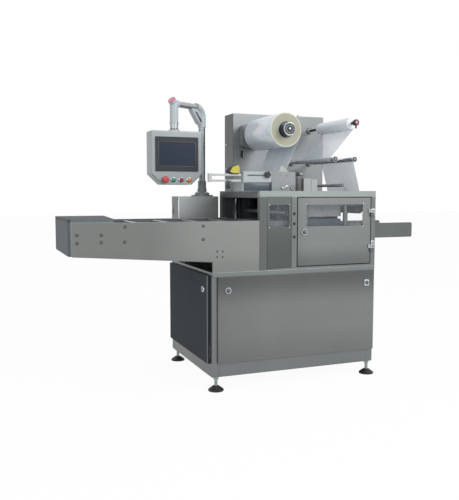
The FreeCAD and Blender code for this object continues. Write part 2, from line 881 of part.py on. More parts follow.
def make_control_box():
    """Sheet box beside the cabinet that carries the post."""
    box = bodied(cabinet_left, box_front, dim.deck_height)
    zero = as_length(0)
    padded(box, "XY_Plane", [rectangle(zero, zero, dim.box_width, dim.box_depth)],
           dim.box_height)
    rounded(box, upright, dim.box_round)
    keep("control_box", box)
    up = dim.sleeve_height
    socket = [(dim.post_radius + dim.joint_gap / 3, dim.flange_thick / 2),
              (dim.post_radius + dim.joint_gap / 3, up), (dim.sleeve_radius, up),
              (dim.sleeve_radius, up * 0.5), (dim.sleeve_radius * 1.12, up * 0.5),
              (dim.sleeve_radius * 1.12, up * 0.32), (dim.flange_radius * 0.68, up * 0.22),
              (dim.flange_radius * 0.68, dim.flange_thick), (dim.flange_radius, dim.flange_thick),
              (dim.flange_radius, 0), (0, 0), (0, dim.flange_thick / 2)]
    keep("post_socket", turned(socket, post_x, post_y, box_top))
    post_bottom = box_top + dim.flange_thick / 2
    keep("arm_post", rod(post_x, post_y, post_bottom, dim.post_radius,
                         head_bottom - dim.joint_gap - post_bottom))


def arm_piece(profile_radius, bend, first_z):
    """A quarter bend of round section that turns from up to along the arm."""
    body = bodied(post_x, post_y, first_z, arm_turn)
    sketch = sketch_on(body, "XY_Plane", [("circle", 0, 0, profile_radius)])
    axis_sketch = body.newObject("Sketcher::SketchObject", "Axis")
    axis_sketch.AttachmentSupport = [(plane_of(body, "XY_Plane"), "")]
    axis_sketch.MapMode = "FlatFace"
    line = axis_sketch.addGeometry(
        Part.LineSegment(Vector(bend.number, -20, 0), Vector(bend.number, 20, 0)), False)
    axis_sketch.addConstraint(sketcher_constraint("Vertical", line))
    index = axis_sketch.addConstraint(
        sketcher_constraint("DistanceX", -1, 1, line, 1, bend.number))
    axis_sketch.setExpression(f"Constraints[{index}]", bend.text)
    spin = body.newObject("PartDesign::Revolution", "Bend")
    spin.Profile = sketch
    spin.ReferenceAxis = (axis_sketch, ["Edge1"])
    spin.Angle = 90
    doc.recompute()
    if spin.Shape.BoundBox.ZMax < bend.number / 2:
        spin.Reversed = True
        doc.recompute()
    return body


def make_arm():
    """Swan-neck head, tube, elbow with its cap and the coupling of the pendant."""
    bend_z = arm_height - dim.bend_radius
    along = FreeCAD.Rotation(Vector(0, 0, 1), SIZES["arm_angle"]).multiply(X_TURN)
    collar = rod(post_x, post_y, head_bottom, dim.casting_radius, bend_z - head_bottom)
    bend = arm_piece(dim.casting_radius, dim.bend_radius, bend_z)
    cosine = math.cos(math.radians(SIZES["arm_angle"]))
    sine = math.sin(math.radians(SIZES["arm_angle"]))
    tube_x = post_x + dim.bend_radius * cosine
    tube_y = post_y + dim.bend_radius * sine
    keep("arm_head", fused([collar, bend]))
    tube_length = dim.arm_length - dim.bend_radius - dim.casting_radius * 1.2
    keep("arm_tube", rod(tube_x, tube_y, arm_height, dim.arm_tube_radius, tube_length,
                         turn=along))
    elbow_start = dim.arm_length - dim.casting_radius * 1.2
    drop = rod(hang_x, hang_y, elbow_bottom, dim.casting_radius,
               arm_height - elbow_bottom)
    stub = rod(post_x + elbow_start * cosine, post_y + elbow_start * sine, arm_height,
               dim.casting_radius * 0.94, dim.casting_radius * 1.2, turn=along)
    tilt = FreeCAD.Rotation(Vector(0, 0, 1), SIZES["arm_angle"]).multiply(
        FreeCAD.Rotation(Vector(0, 1, 0), 45))
    ball = doc.addObject("Part::Sphere", "Ball")
    bind(ball, Radius=dim.casting_radius)
    place(ball, hang_x, hang_y, arm_height)
    boss = rod(hang_x, hang_y, arm_height, dim.cap_radius, dim.cap_radius * 1.1, turn=tilt)
    keep("arm_elbow", fused([drop, stub, ball, boss]))
    out = dim.cap_radius * 1.1 * math.cos(math.radians(45))
    keep("arm_cap", rod(hang_x + out * cosine, hang_y + out * sine, arm_height + out,
                        dim.cap_radius * 0.92, dim.cap_radius * 0.2, turn=tilt))


def make_pendant():
    """Operator box with its display and buttons, hung from the coupling."""
    zero = as_length(0)
    up = dim.coupling_height - dim.joint_gap
    coupling = [(0, 0), (dim.casting_radius * 1.3, 0), (dim.casting_radius * 1.3, up * 0.14),
                (dim.casting_radius * 0.96, up * 0.22), (dim.casting_radius * 0.96, up * 0.8),
                (dim.casting_radius * 1.06, up * 0.8), (dim.casting_radius * 1.06, up), (0, up)]
    keep("pendant_coupling", turned(coupling, hang_x, hang_y, pendant_top))
    face_y = hang_y - dim.pendant_depth / 2
    height = dim.pendant_main + dim.pendant_drop
    half = dim.pendant_width / 2
    foot_half = dim.pendant_foot / 2
    housing = bodied(hang_x, face_y, pendant_top - height)
    padded(housing, "XZ_Plane", [[
        (zero - foot_half, zero), (foot_half, zero), (half, dim.pendant_drop),
        (half, height), (zero - half, height), (zero - half, dim.pendant_drop)]],
        dim.pendant_depth)
    keep("pendant_housing", housing)
    bezel_z = pendant_top - dim.bezel_drop - dim.bezel_height
    bezel = bodied(hang_x, face_y - dim.bezel_thick, bezel_z)
    left = zero - dim.bezel_width / 2
    screen_up = (dim.bezel_height - dim.screen_height) / 2
    padded(bezel, "XZ_Plane", [rectangle(left, zero, dim.bezel_width, dim.bezel_height)],
           dim.bezel_thick)
    screen = rectangle(zero - dim.screen_width / 2, screen_up, dim.screen_width,
                       dim.screen_height)
    hollowed(bezel, "XZ_Plane", [screen], dim.skin)
    keep("hmi_bezel", bezel)
    keep("hmi_screen", block(
        hang_x - dim.screen_width / 2, face_y - dim.bezel_thick + dim.skin / 2,
        bezel_z + screen_up, dim.screen_width, dim.skin / 2, dim.screen_height))
    first = hang_x - dim.button_spacing * 1.5
    button_z = pendant_top - height + dim.button_rise
    stand = dim.button_radius
    mushroom = [(0, 0), (dim.button_radius, 0), (dim.button_radius, stand * 0.8),
                (dim.mushroom_radius, stand), (dim.mushroom_radius, stand * 1.7), (0, stand * 1.7)]
    plain = [(0, 0), (dim.button_radius, 0), (dim.button_radius, stand * 0.5),
             (dim.button_radius * 0.8, stand * 0.7), (0, stand * 0.7)]
    turn_out = FreeCAD.Rotation(Vector(1, 0, 0), 90)
    buttons = []
    for index in range(4):
        button = turned(mushroom if index == 0 else plain,
                        first + index * dim.button_spacing, face_y, button_z)
        place(button, first + index * dim.button_spacing, face_y, button_z, turn_out)
        buttons.append(button)
    keep("push_buttons", group(buttons))


# Film housing and reels
valves_left = cabinet_left + dim.valve_left
valve_blocks_left = valves_left + 2 * dim.valve_cylinder_radius + dim.skin
valves_right = valve_blocks_left + dim.valve_block_width * 1.8 + dim.skin
roll_x = cabinet_left + dim.roll_x
waste_x = cabinet_right - dim.waste_inset
roller_left_x = cabinet_right - dim.roller_left_inset
roller_right_x = cabinet_right - dim.roller_right_inset


def make_film_unit():
    """Tall housing with the film reel, the waste reel and their rollers in front of it."""
    zero = as_length(0)
    left = cabinet_left + dim.housing_left
    housing = bodied(left, housing_face, dim.deck_height)
    padded(housing, "XY_Plane", [rectangle(
        zero, zero, cabinet_right - dim.housing_margin - left, dim.housing_depth)],
        housing_top - dim.deck_height)
    keep("film_housing", housing)
    bracket_y = housing_face - dim.bracket_depth
    bracket = bodied(roll_x, bracket_y, roll_z)
    reach = dim.roll_radius * 0.75
    padded(bracket, "XZ_Plane", [rectangle(zero - reach, zero - reach, reach * 2, reach * 2)],
           dim.bracket_depth)
    rounded(bracket, along_y, dim.roll_radius * 0.3)
    boss_y = film_y - dim.boss_length
    film_at = dim.boss_length
    film_end = film_at + film_width
    spindle_end = bracket_y - dim.joint_gap - boss_y
    mandrel = [(0, 0), (dim.boss_radius, 0), (dim.boss_radius, film_at - dim.boss_shoulder),
               (dim.mandrel_radius, film_at - dim.boss_shoulder), (dim.mandrel_radius, film_end),
               (dim.spindle_radius, film_end), (dim.spindle_radius, spindle_end),
               (0, spindle_end)]
    keep("film_mandrel", turned(mandrel, roll_x, boss_y, roll_z, "y"))
    inner = dim.mandrel_radius + dim.roll_clearance
    keep("film_roll", turned([(inner, 0), (dim.roll_radius, 0), (dim.roll_radius, film_width),
                              (inner, film_width)], roll_x, film_y, roll_z, "y"))
    flange_y = housing_face - dim.roller_flange_thick
    waste_y = front_plane + dim.waste_front
    waste_end = flange_y - dim.joint_gap - waste_y
    collar = dim.waste_shaft * 1.8
    spindle = [(0, 0), (collar, 0), (collar, dim.waste_shaft * 2),
               (dim.waste_shaft, dim.waste_shaft * 2), (dim.waste_shaft, waste_end),
               (0, waste_end)]
    keep("waste_spindle", turned(spindle, waste_x, waste_y, waste_z, "y"))
    inner = dim.waste_shaft + dim.roll_clearance
    keep("waste_roll", turned([(inner, 0), (dim.waste_radius, 0),
                               (dim.waste_radius, film_width), (inner, film_width)],
                              waste_x, film_y, waste_z, "y"))
    brackets = [bracket, turned_flange(waste_x, flange_y, waste_z)]
    rollers = (
        ("guide_roller_left", roller_left_x, roller_z, dim.roller_radius),
        ("guide_roller_right", roller_right_x, roller_z, dim.roller_radius),
        ("guide_roller_low", valves_right + dim.roller_low_gap,
         upper_top + dim.roller_low_rise, dim.low_roller_radius),
    )
    for label, x, z, radius in rollers:
        roller_y = front_plane + dim.roller_front
        length = flange_y - dim.joint_gap - roller_y
        cap = radius * 1.35
        profile = [(0, 0), (cap, 0), (cap, radius * 0.5), (radius, radius * 0.5),
                   (radius, length - dim.bracket_depth), (radius * 0.6, length - dim.bracket_depth),
                   (radius * 0.6, length), (0, length)]
        keep(label, turned(profile, x, roller_y, z, "y"))
        brackets.append(turned_flange(x, flange_y, z))
    keep("spindle_brackets", group(brackets))
    make_film_webs()


def turned_flange(x, y, z):
    """A round foot on the housing for a spindle."""
    radius = dim.roller_flange
    thick = dim.roller_flange_thick
    return turned([(0, 0), (radius * 0.7, 0), (radius, thick * 0.4), (radius, thick), (0, thick)],
                  x, y, z, "y")


def unit(angle):
    """A unit vector in the front view's plane."""
    return Vector(math.cos(angle), 0, math.sin(angle))


def web_side(stops, shift):
    """Edges of a web that runs from stop to stop, moved sideways by a shift.

    A stop is a centre and a signed radius: zero at a free end, positive where the web
    passes the centre on its left, negative where it passes on its right.
    """
    normals = []
    for (here, radius), (following, other) in zip(stops, stops[1:]):
        gap = following - here
        lean = math.acos((radius - other) / gap.Length)
        normals.append(math.atan2(gap.z, gap.x) + lean)
    edges = []
    last = None
    for index, (centre, radius) in enumerate(stops):
        reach = radius + shift
        if 0 < index < len(stops) - 1:
            arrive, leave = normals[index - 1], normals[index]
            swing = math.remainder(leave - arrive, 2 * math.pi)
            first, middle, final = (
                centre + unit(arrive + part * swing) * reach for part in (0, 0.5, 1))
            edges.append(Part.makeLine(last, first))
            edges.append(Part.Arc(first, middle, final).toShape())
            last = final
        elif index == 0:
            last = centre + unit(normals[0]) * reach
        else:
            edges.append(Part.makeLine(last, centre + unit(normals[-1]) * reach))
    return edges


def web_solid(stops):
    """A thin web of the film's width that runs over its rollers."""
    wall = dim.film_thick.number
    near = web_side(stops, -wall / 2)
    far = web_side(stops, wall / 2)
    ends = [Part.makeLine(near[0].firstVertex(True).Point, far[0].firstVertex(True).Point),
            Part.makeLine(near[-1].lastVertex(True).Point, far[-1].lastVertex(True).Point)]
    outline = Part.Wire(Part.__sortEdges__(near + far + ends))
    solid = Part.Face(outline).extrude(Vector(0, film_width.number, 0))
    solid.translate(Vector(0, film_y.number, 0))
    return solid


def make_film_webs():
    """Supply web from the reel into the cabinet and waste web back up to its reel."""
    clear = (dim.film_clearance + dim.film_thick / 2).number

    def stop(x, z, radius=0, side=1):
        centre = Vector(x.number, 0, z.number)
        return centre, side * (as_length(radius).number + clear) if radius else 0

    supply = [stop(roll_x, roll_z, dim.roll_radius, 1),
              stop(cabinet_left + dim.supply_slot_x, frame_top)]
    waste = [stop(cabinet_right - dim.return_slot_inset, frame_top),
             stop(roller_right_x, roller_z, dim.roller_radius, -1),
             stop(roller_left_x, roller_z, dim.roller_radius, 1),
             stop(waste_x, waste_z, dim.waste_radius, -1)]
    thing = doc.addObject("Part::Feature", "Webs")
    thing.Shape = Part.makeCompound([web_solid(stops) for stops in (supply, waste)])
    keep("film_webs", thing)


# Date coder on the cabinet's top
def make_coder():
    """Coder body on its slide, with its knob and the film sensor."""
    zero = as_length(0)
    left = cabinet_left + dim.coder_left
    y = front_plane + dim.coder_front
    bar = bodied(left, y, coder_bar_bottom)
    length = dim.coder_right - dim.coder_left
    height = dim.coder_bar_height
    padded(bar, "XZ_Plane", [rectangle(zero, zero, length, height)], dim.coder_depth)
    hollowed(bar, "XZ_Plane", [rectangle(height * 0.4, height * 0.6, length * 0.4,
                                         dim.slide_bar / 2)], dim.slide_bar / 2)
    block_x = cabinet_left + dim.coder_block_left
    foot_block = block(block_x, y - dim.skin, upper_top, dim.coder_right - dim.coder_block_left,
                       dim.coder_depth + dim.skin, coder_bar_bottom - upper_top + height * 0.3)
    plate = block(left, y + dim.coder_depth * 0.3, upper_top + dim.skin,
                  dim.coder_block_left - dim.coder_left, dim.coder_depth * 0.7,
                  coder_bar_bottom - upper_top - dim.skin)
    keep("coder_body", fused([bar, foot_block, plate]))
    knob_body = star_knob(cabinet_left + dim.coder_knob_x, y,
                          coder_bar_bottom + height - dim.coder_knob_drop)
    keep("coder_knob", knob_body)
    slide_y = y + dim.coder_depth * 0.35
    slide_x = cabinet_left + dim.slide_left
    reach = dim.coder_left - dim.slide_left
    bars = [block(slide_x, slide_y, z, reach, dim.slide_bar, dim.slide_bar)
            for z in (slide_bottom, slide_top - dim.slide_bar)]
    end = block(slide_x, slide_y - dim.skin, slide_bottom - dim.skin, dim.slide_bar * 1.6,
                dim.slide_bar + 2 * dim.skin, slide_top - slide_bottom + 2 * dim.skin)
    keep("coder_slide", fused(bars + [end]))
    sensor_x = cabinet_left + dim.sensor_x - dim.sensor_length / 2
    sensor_low = upper_top + dim.sensor_rise - dim.sensor_length * 0.45
    body = bodied(sensor_x, slide_y - dim.slide_bar, sensor_low)
    size = dim.sensor_length
    padded(body, "XZ_Plane", [[
        (zero, size * 0.15), (size * 0.35, zero), (size, zero), (size, size * 0.6),
        (size * 0.85, size * 0.8), (size * 0.3, size * 0.62)]], size * 0.7)
    clamp = block(sensor_x + size * 0.4, slide_y, slide_top, size * 0.35, dim.slide_bar,
                  sensor_low - slide_top)
    keep("film_sensor", fused([body, clamp]))


def star_knob(x, y, z):
    """A five-lobed clamping knob whose stem points into the bar."""
    radius = dim.coder_knob_radius
    body = bodied(x, y, z, FreeCAD.Rotation(Vector(1, 0, 0), 90))
    zero = as_length(0)
    padded(body, "XY_Plane", [("circle", zero, zero, radius * 0.8)], radius * 0.8)
    lobe = padded(body, "XY_Plane", [("circle", radius * 0.72, zero, radius * 0.28)],
                  radius * 0.8)
    pattern = body.newObject("PartDesign::PolarPattern", "Lobes")
    pattern.Originals = [lobe]
    pattern.Axis = (plane_of(body, "Z_Axis"), [""])
    pattern.Angle = 360
    pattern.Occurrences = 5
    body.Tip = pattern
    doc.recompute()
    return body


def make_valves():
    """Air cylinder and valve blocks on the cabinet's top."""
    y = front_plane + dim.valve_y
    radius = dim.valve_cylinder_radius
    rise = dim.valve_height
    cylinder = rod(valves_left + radius, y + radius, upper_top, radius, rise)
    first = block(valve_blocks_left, y, upper_top, dim.valve_block_width, 2 * radius,
                  rise * 0.85)
    second = block(valve_blocks_left + dim.valve_block_width + dim.skin, y, upper_top,
                   dim.valve_block_width * 0.8, 2 * radius, rise * 0.8)
    keep("air_valves", group([cylinder, first, second]))


# Sealing station
def make_station():
    """Four columns with a bridge, the upper sealing head and the lower mould."""
    left = station_left
    front = front_plane + dim.station_front
    length = dim.station_length
    width = dim.station_depth
    radius = dim.column_radius
    columns = [rod(x, y, dim.deck_height, radius, bridge_bottom - dim.deck_height)
               for x in (left + radius, left + length - radius)
               for y in (front + radius, front + width - radius)]
    bridge = block(left, front, bridge_bottom, length, width, dim.bridge_thick)
    keep("press_frame", fused(columns + [bridge]))
    inset = radius * 2 + dim.door_gap
    mould_front = front + inset
    mould_width = width - 2 * inset
    head_bottom = mould_top + dim.seal_gap
    keep("sealing_head", block(left + inset, mould_front, head_bottom, length - 2 * inset,
                               mould_width, bridge_bottom - head_bottom))
    mould = block(left + inset, mould_front, mould_top - dim.mould_height,
                  length - 2 * inset, mould_width, dim.mould_height)
    pedestal = block(left + inset * 2, mould_front + inset, dim.deck_height,
                     length - 4 * inset, mould_width - 2 * inset,
                     mould_top - dim.mould_height - dim.deck_height)
    keep("lower_mould", fused([mould, pedestal]))


make_base()
side_hinges = make_side_door()
make_upper()
make_front_panels(side_hinges)
make_infeed()
make_outfeed()
make_control_box()
make_arm()
make_pendant()
make_film_unit()
make_coder()
make_valves()
make_station()
doc.recompute()

for thing in doc.Objects:
    if {"Invalid", "Error"} & set(thing.State):
        raise ValueError(f"{thing.Name} {thing.Label} is in state {thing.State}")
for label, thing in parts.items():
    if thing.Shape.isNull() or not thing.Shape.isValid():
        raise ValueError(f"{label} has no valid shape")

os.makedirs("parts", exist_ok=True)
for label, thing in parts.items():
    thing.Shape.exportStep(f"parts/{label}.step")
print(len(parts), "sub-parts written")
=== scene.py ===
"""Finishes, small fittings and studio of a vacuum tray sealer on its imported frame."""
import logging
import math
from collections.abc import Mapping, Sequence
from dataclasses import dataclass
from enum import Enum
from typing import Any

import bpy
import numpy as np
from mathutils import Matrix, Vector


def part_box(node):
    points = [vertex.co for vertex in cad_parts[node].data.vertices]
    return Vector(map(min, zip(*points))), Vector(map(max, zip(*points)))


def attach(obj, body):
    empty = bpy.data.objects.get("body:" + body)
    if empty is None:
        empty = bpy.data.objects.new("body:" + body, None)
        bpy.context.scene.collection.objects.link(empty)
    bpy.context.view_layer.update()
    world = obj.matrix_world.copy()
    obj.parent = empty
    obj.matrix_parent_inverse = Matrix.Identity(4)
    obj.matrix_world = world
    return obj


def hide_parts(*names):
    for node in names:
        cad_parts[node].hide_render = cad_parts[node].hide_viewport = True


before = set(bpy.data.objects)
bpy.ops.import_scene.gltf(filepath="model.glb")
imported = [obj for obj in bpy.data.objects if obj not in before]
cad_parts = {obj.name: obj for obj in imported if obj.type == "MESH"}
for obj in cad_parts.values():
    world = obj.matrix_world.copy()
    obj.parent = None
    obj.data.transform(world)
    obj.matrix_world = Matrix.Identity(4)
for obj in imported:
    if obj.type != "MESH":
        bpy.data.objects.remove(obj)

LOG = logging.getLogger("tray_sealer")
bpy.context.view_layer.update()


# Shader maths
class Signal:
    """A shader socket whose arithmetic adds Math nodes."""

    def __init__(self, graph: "Graph", socket: bpy.types.NodeSocket) -> None:
        """Keeps the graph and the socket that carries the value."""
        self.graph = graph
        self.socket = socket

    def _math(self, operation: str, first: Any, second: Any = 0.0) -> "Signal":
        """Adds one Math node."""
        made = self.graph.node("ShaderNodeMath", {"operation": operation}, {0: first, 1: second})
        return Signal(self.graph, made.outputs[0])

    def __add__(self, other: Any) -> "Signal":
        """Sum."""
        return self._math("ADD", self, other)

    def __radd__(self, other: Any) -> "Signal":
        """Sum with a number in front."""
        return self._math("ADD", other, self)

    def __sub__(self, other: Any) -> "Signal":
        """Difference."""
        return self._math("SUBTRACT", self, other)

    def __rsub__(self, other: Any) -> "Signal":
        """Difference with a number in front."""
        return self._math("SUBTRACT", other, self)

    def __mul__(self, other: Any) -> "Signal":
        """Product."""
        return self._math("MULTIPLY", self, other)

    def __rmul__(self, other: Any) -> "Signal":
        """Product with a number in front."""
        return self._math("MULTIPLY", other, self)

    def __pow__(self, other: float) -> "Signal":
        """Power."""
        return self._math("POWER", self, other)

    def ramp(self, low: float, high: float) -> "Signal":
        """Runs smoothly from 0 at low to 1 at high."""
        made = self.graph.node("ShaderNodeMapRange", {"interpolation_type": "SMOOTHSTEP"},
                               {0: self, 1: low, 2: high})
        return Signal(self.graph, made.outputs[0])


class Graph:
    """Node tree of one material."""

    def __init__(self, tree: bpy.types.NodeTree) -> None:
        """Empties the tree."""
        self.tree = tree
        tree.nodes.clear()

    def node(self, kind: str, settings: Mapping[str, Any] | None = None,
             inputs: Mapping[Any, Any] | None = None) -> bpy.types.Node:
        """Adds a node of any type.

        Args:
            kind: the node's type.
            settings: attributes set first.
            inputs: values or links by socket name or number.

        Returns:
            The node.
        """
        made = self.tree.nodes.new(kind)
        for key, value in (settings or {}).items():
            setattr(made, key, value)
        for key, value in (inputs or {}).items():
            socket = made.inputs[key]
            if isinstance(value, Signal):
                self.tree.links.new(value.socket, socket)
            elif isinstance(value, bpy.types.NodeSocket):
                self.tree.links.new(value, socket)
            else:
                socket.default_value = value
        return made

    def spot(self) -> bpy.types.NodeSocket:
        """The socket of the object coordinates."""
        return self.node("ShaderNodeTexCoord").outputs["Object"]

    def axis(self, index: int) -> Signal:
        """The object coordinate along x, y or z, as 0, 1 or 2."""
        split = self.node("ShaderNodeSeparateXYZ", None, {0: self.spot()})
        return Signal(self, split.outputs[index])

    def sight(self, *kinds: str) -> list[Signal]:
        """Whether a ray is of each kind, by the names of the Light Path's outputs."""
        path = self.node("ShaderNodeLightPath")
        return [Signal(self, path.outputs[kind]) for kind in kinds]

    def noise(self, scale: float | Sequence[float], detail: float = 3.0,
              warp: float = 0.0) -> Signal:
        """Smooth noise from 0 to 1 over object coordinates.

        Args:
            scale: repeats a metre, one number or one for each of x, y and z.
            detail: octaves.
            warp: distortion.

        Returns:
            The noise.
        """
        spread = tuple(np.broadcast_to(scale, 3).tolist())
        mapped = self.node("ShaderNodeMapping", None, {"Vector": self.spot(), "Scale": spread})
        made = self.node("ShaderNodeTexNoise", None, {
            "Vector": mapped.outputs[0], "Scale": 1.0, "Detail": detail, "Distortion": warp})
        return Signal(self, made.outputs[0])

    def blend(self, factor: Any, first: Any, second: Any) -> bpy.types.NodeSocket:
        """Mixes two colours or sockets: the first at factor 0, the second at factor 1."""
        made = self.node("ShaderNodeMix", {"data_type": "RGBA"}, {0: factor, 6: first, 7: second})
        return made.outputs[2]

    def relief(self, height: Signal, depth: float, strength: float = 1.0) -> bpy.types.NodeSocket:
        """Normal bumped by a height from 0 to 1, with its depth in metres and a strength."""
        made = self.node("ShaderNodeBump", None,
                         {"Strength": strength, "Distance": depth, "Height": height})
        return made.outputs[0]

    def toned(self, colour: "Colour", tone: Signal,
              painted_light_sweeps: Sequence["Sweep"] = ()) -> bpy.types.NodeSocket:
        """A colour times a tone and times the gain of each sweep, which paints light and shade
        into the colour.

        Args:
            colour: the colour at tone 1, at most half white.
            tone: its gain over the surface.
            painted_light_sweeps: painted light and shade, as changes of tone along the axes.

        Returns:
            The colour's socket.
        """
        # Each sweep is painted light and shade: a gain on the colour along one axis.
        for change in painted_light_sweeps:
            shift = float(DATUM.at(0, 0, 0)[change.axis])
            share = self.axis(change.axis).ramp(change.start + shift, change.end + shift)
            tone = tone * (share * (change.after - change.before) + change.before)
        return self.blend(tone * 0.5, rgba((0, 0, 0)), rgba(colour, 2.0))

    def surface(self, inputs: Mapping[str, Any]) -> None:
        """Ends the tree in one principled surface with these inputs."""
        shader = self.node("ShaderNodeBsdfPrincipled", None, inputs)
        self.node("ShaderNodeOutputMaterial", None, {"Surface": shader.outputs[0]})


Pair = tuple[float, float]
Point = tuple[float, float, float]
Colour = Point


def rgba(colour: Colour, gain: float = 1.0) -> tuple[float, float, float, float]:
    """A colour with alpha 1, brightened by a gain."""
    red, green, blue = (min(part * gain, 1.0) for part in colour)
    return red, green, blue, 1.0


class Along(Enum):
    """Direction of a grain: few repeats a metre along it, many across it."""

    LENGTH = (3.0, 300.0, 300.0)
    DEPTH = (300.0, 3.0, 300.0)
    HEIGHT = (300.0, 300.0, 3.0)


@dataclass(frozen=True)
class Sweep:
    """Painted light and shade: a gain that changes between two places along an axis, counted from
    the datum corner.
    """

    axis: int
    start: float
    end: float
    before: float
    after: float


# Finishes
@dataclass(frozen=True)
class BrushedSteel:
    """Satin stainless sheet with a fine grain, soft clouds, faint handling marks and painted light
    and shade along its axes.
    """

    colour: Colour
    grain: Along = Along.LENGTH
    painted_light_sweeps: tuple[Sweep, ...] = ()
    roughness: float = 0.36
    metallic: float = 0.8
    shine: float = 0.5
    cloud: float = 0.24

    def dress(self, graph: Graph) -> None:
        """Builds the nodes of the finish.

        Args:
            graph: the material's empty node tree.
        """
        streak = graph.noise(self.grain.value, 4.0)
        drift = graph.noise((2.2, 2.2, 1.6), 2.0, 0.6)
        marks = graph.noise(38.0, 5.0).ramp(0.55, 0.75)
        tone = drift * self.cloud + streak * 0.07 + (0.96 - self.cloud / 2) - marks * 0.03
        graph.surface({
            "Base Color": graph.toned(self.colour, tone, self.painted_light_sweeps),
            "Metallic": self.metallic, "Specular IOR Level": self.shine,
            "Roughness": streak * 0.1 + marks * 0.05 + (self.roughness - 0.06),
            "Normal": graph.relief(streak, 0.00006, 0.35)})


@dataclass(frozen=True)
class Polished:
    """Turned or plated metal with fine rings and a few smudges."""

    colour: Colour
    roughness: float = 0.14
    metallic: float = 1.0
    grain: Along = Along.HEIGHT

    def dress(self, graph: Graph) -> None:
        """Builds the nodes of the finish.

        Args:
            graph: the material's empty node tree.
        """
        smudge = graph.noise(26.0, 4.0).ramp(0.4, 0.8)
        streak = graph.noise(self.grain.value, 2.0)
        tone = graph.blend(smudge, rgba(self.colour, 1.05), rgba(self.colour, 0.86))
        graph.surface({
            "Base Color": tone, "Metallic": self.metallic,
            "Roughness": smudge * 0.12 + streak * 0.06 + self.roughness,
            "Normal": graph.relief(streak, 0.00006, 0.4)})


@dataclass(frozen=True)
class Paint:
    """Sprayed enamel or powder coat with a slight orange peel and painted light and shade along
    its axes.
    """

    colour: Colour
    roughness: float = 0.34
    coat: float = 0.35
    painted_light_sweeps: tuple[Sweep, ...] = ()
    peel: float = 0.00012
    fade: float = 0.1

    def dress(self, graph: Graph) -> None:
        """Builds the nodes of the finish.

        Args:
            graph: the material's empty node tree.
        """
        skin = graph.noise(420.0, 2.0)
        cloud = graph.noise(9.0, 3.0)
        rub = graph.noise(70.0, 5.0).ramp(0.58, 0.72)
        tone = cloud * (2 * self.fade) + (1 - self.fade) - rub * 0.05
        graph.surface({
            "Base Color": graph.toned(self.colour, tone, self.painted_light_sweeps),
            "Roughness": rub * 0.1 + skin * 0.06 + self.roughness, "Coat Weight": self.coat,
            "Coat Roughness": 0.12, "Normal": graph.relief(skin, self.peel, 0.6)})


@dataclass(frozen=True)
class Moulded:
    """Moulded plastic or rubber with a spark-eroded grain."""

    colour: Colour
    roughness: float = 0.48
    pebble: float = 0.0002

    def dress(self, graph: Graph) -> None:
        """Builds the nodes of the finish.

        Args:
            graph: the material's empty node tree.
        """
        pebble = graph.noise(700.0, 3.0)
        dust = graph.noise(30.0, 4.0).ramp(0.45, 0.85)
        tone = graph.blend(dust * 0.35, rgba(self.colour), rgba(self.colour, 1.5))
        graph.surface({
            "Base Color": tone, "Roughness": dust * 0.12 + pebble * 0.08 + self.roughness,
            "Normal": graph.relief(pebble, self.pebble, 0.5)})


@dataclass(frozen=True)
class ClearSheet:
    """Clear plastic plate with faint haze and scratches."""

    colour: Colour = (0.80, 0.85, 0.88)
    cover: float = 0.16

    def dress(self, graph: Graph) -> None:
        """Builds the nodes of the finish.

        Args:
            graph: the material's empty node tree.
        """
        haze = graph.noise(7.0, 3.0)
        scratch = graph.noise((120.0, 120.0, 9.0), 3.0, 0.8).ramp(0.66, 0.74)
        graph.surface({
            "Base Color": rgba(self.colour), "Roughness": haze * 0.05 + scratch * 0.2 + 0.04,
            "Alpha": haze * 0.06 + scratch * 0.04 + self.cover})


@dataclass(frozen=True)
class ClearFilm:
    """Thin film under tension: lengthwise ripples, creases and a milky tint."""

    colour: Colour = (0.71, 0.76, 0.82)
    cover: float = 0.42
    ripple: float = 0.0007

    def dress(self, graph: Graph) -> None:
        """Builds the nodes of the finish.

        Args:
            graph: the material's empty node tree.
        """
        ripple = graph.noise((2.0, 26.0, 2.0), 3.0, 0.4)
        crease = graph.noise((5.0, 20.0, 5.0), 3.0, 0.8).ramp(0.60, 0.70)
        graph.surface({
            "Base Color": graph.blend(crease, rgba(self.colour), rgba(self.colour, 1.15)),
            "Roughness": ripple * 0.1 + 0.08,
            "Alpha": ripple * 0.16 + crease * 0.22 + self.cover,
            "Normal": graph.relief(ripple + crease * 0.3, self.ripple, 0.8)})


@dataclass(frozen=True)
class WoundFilm:
    """Film wound on its reel: fine rings of layers and trapped-air specks."""

    colour: Colour = (0.70, 0.77, 0.84)
    speck: Colour = (0.42, 0.48, 0.58)

    def dress(self, graph: Graph) -> None:
        """Builds the nodes of the finish.

        Args:
            graph: the material's empty node tree.
        """
        band = graph.noise((6.0, 90.0, 6.0), 2.0)
        speck = graph.noise(120.0, 5.0, 0.4).ramp(0.63, 0.70)
        zone = graph.noise((5.0, 16.0, 5.0), 2.0).ramp(0.45, 0.62)
        tone = graph.blend(band, rgba(self.colour, 0.97), rgba(self.colour, 1.04))
        graph.surface({
            "Base Color": graph.blend(speck * zone, tone, rgba(self.speck)),
            "Roughness": band * 0.1 + 0.24, "Coat Weight": 0.4,
            "Normal": graph.relief(band, 0.0002, 0.4)})


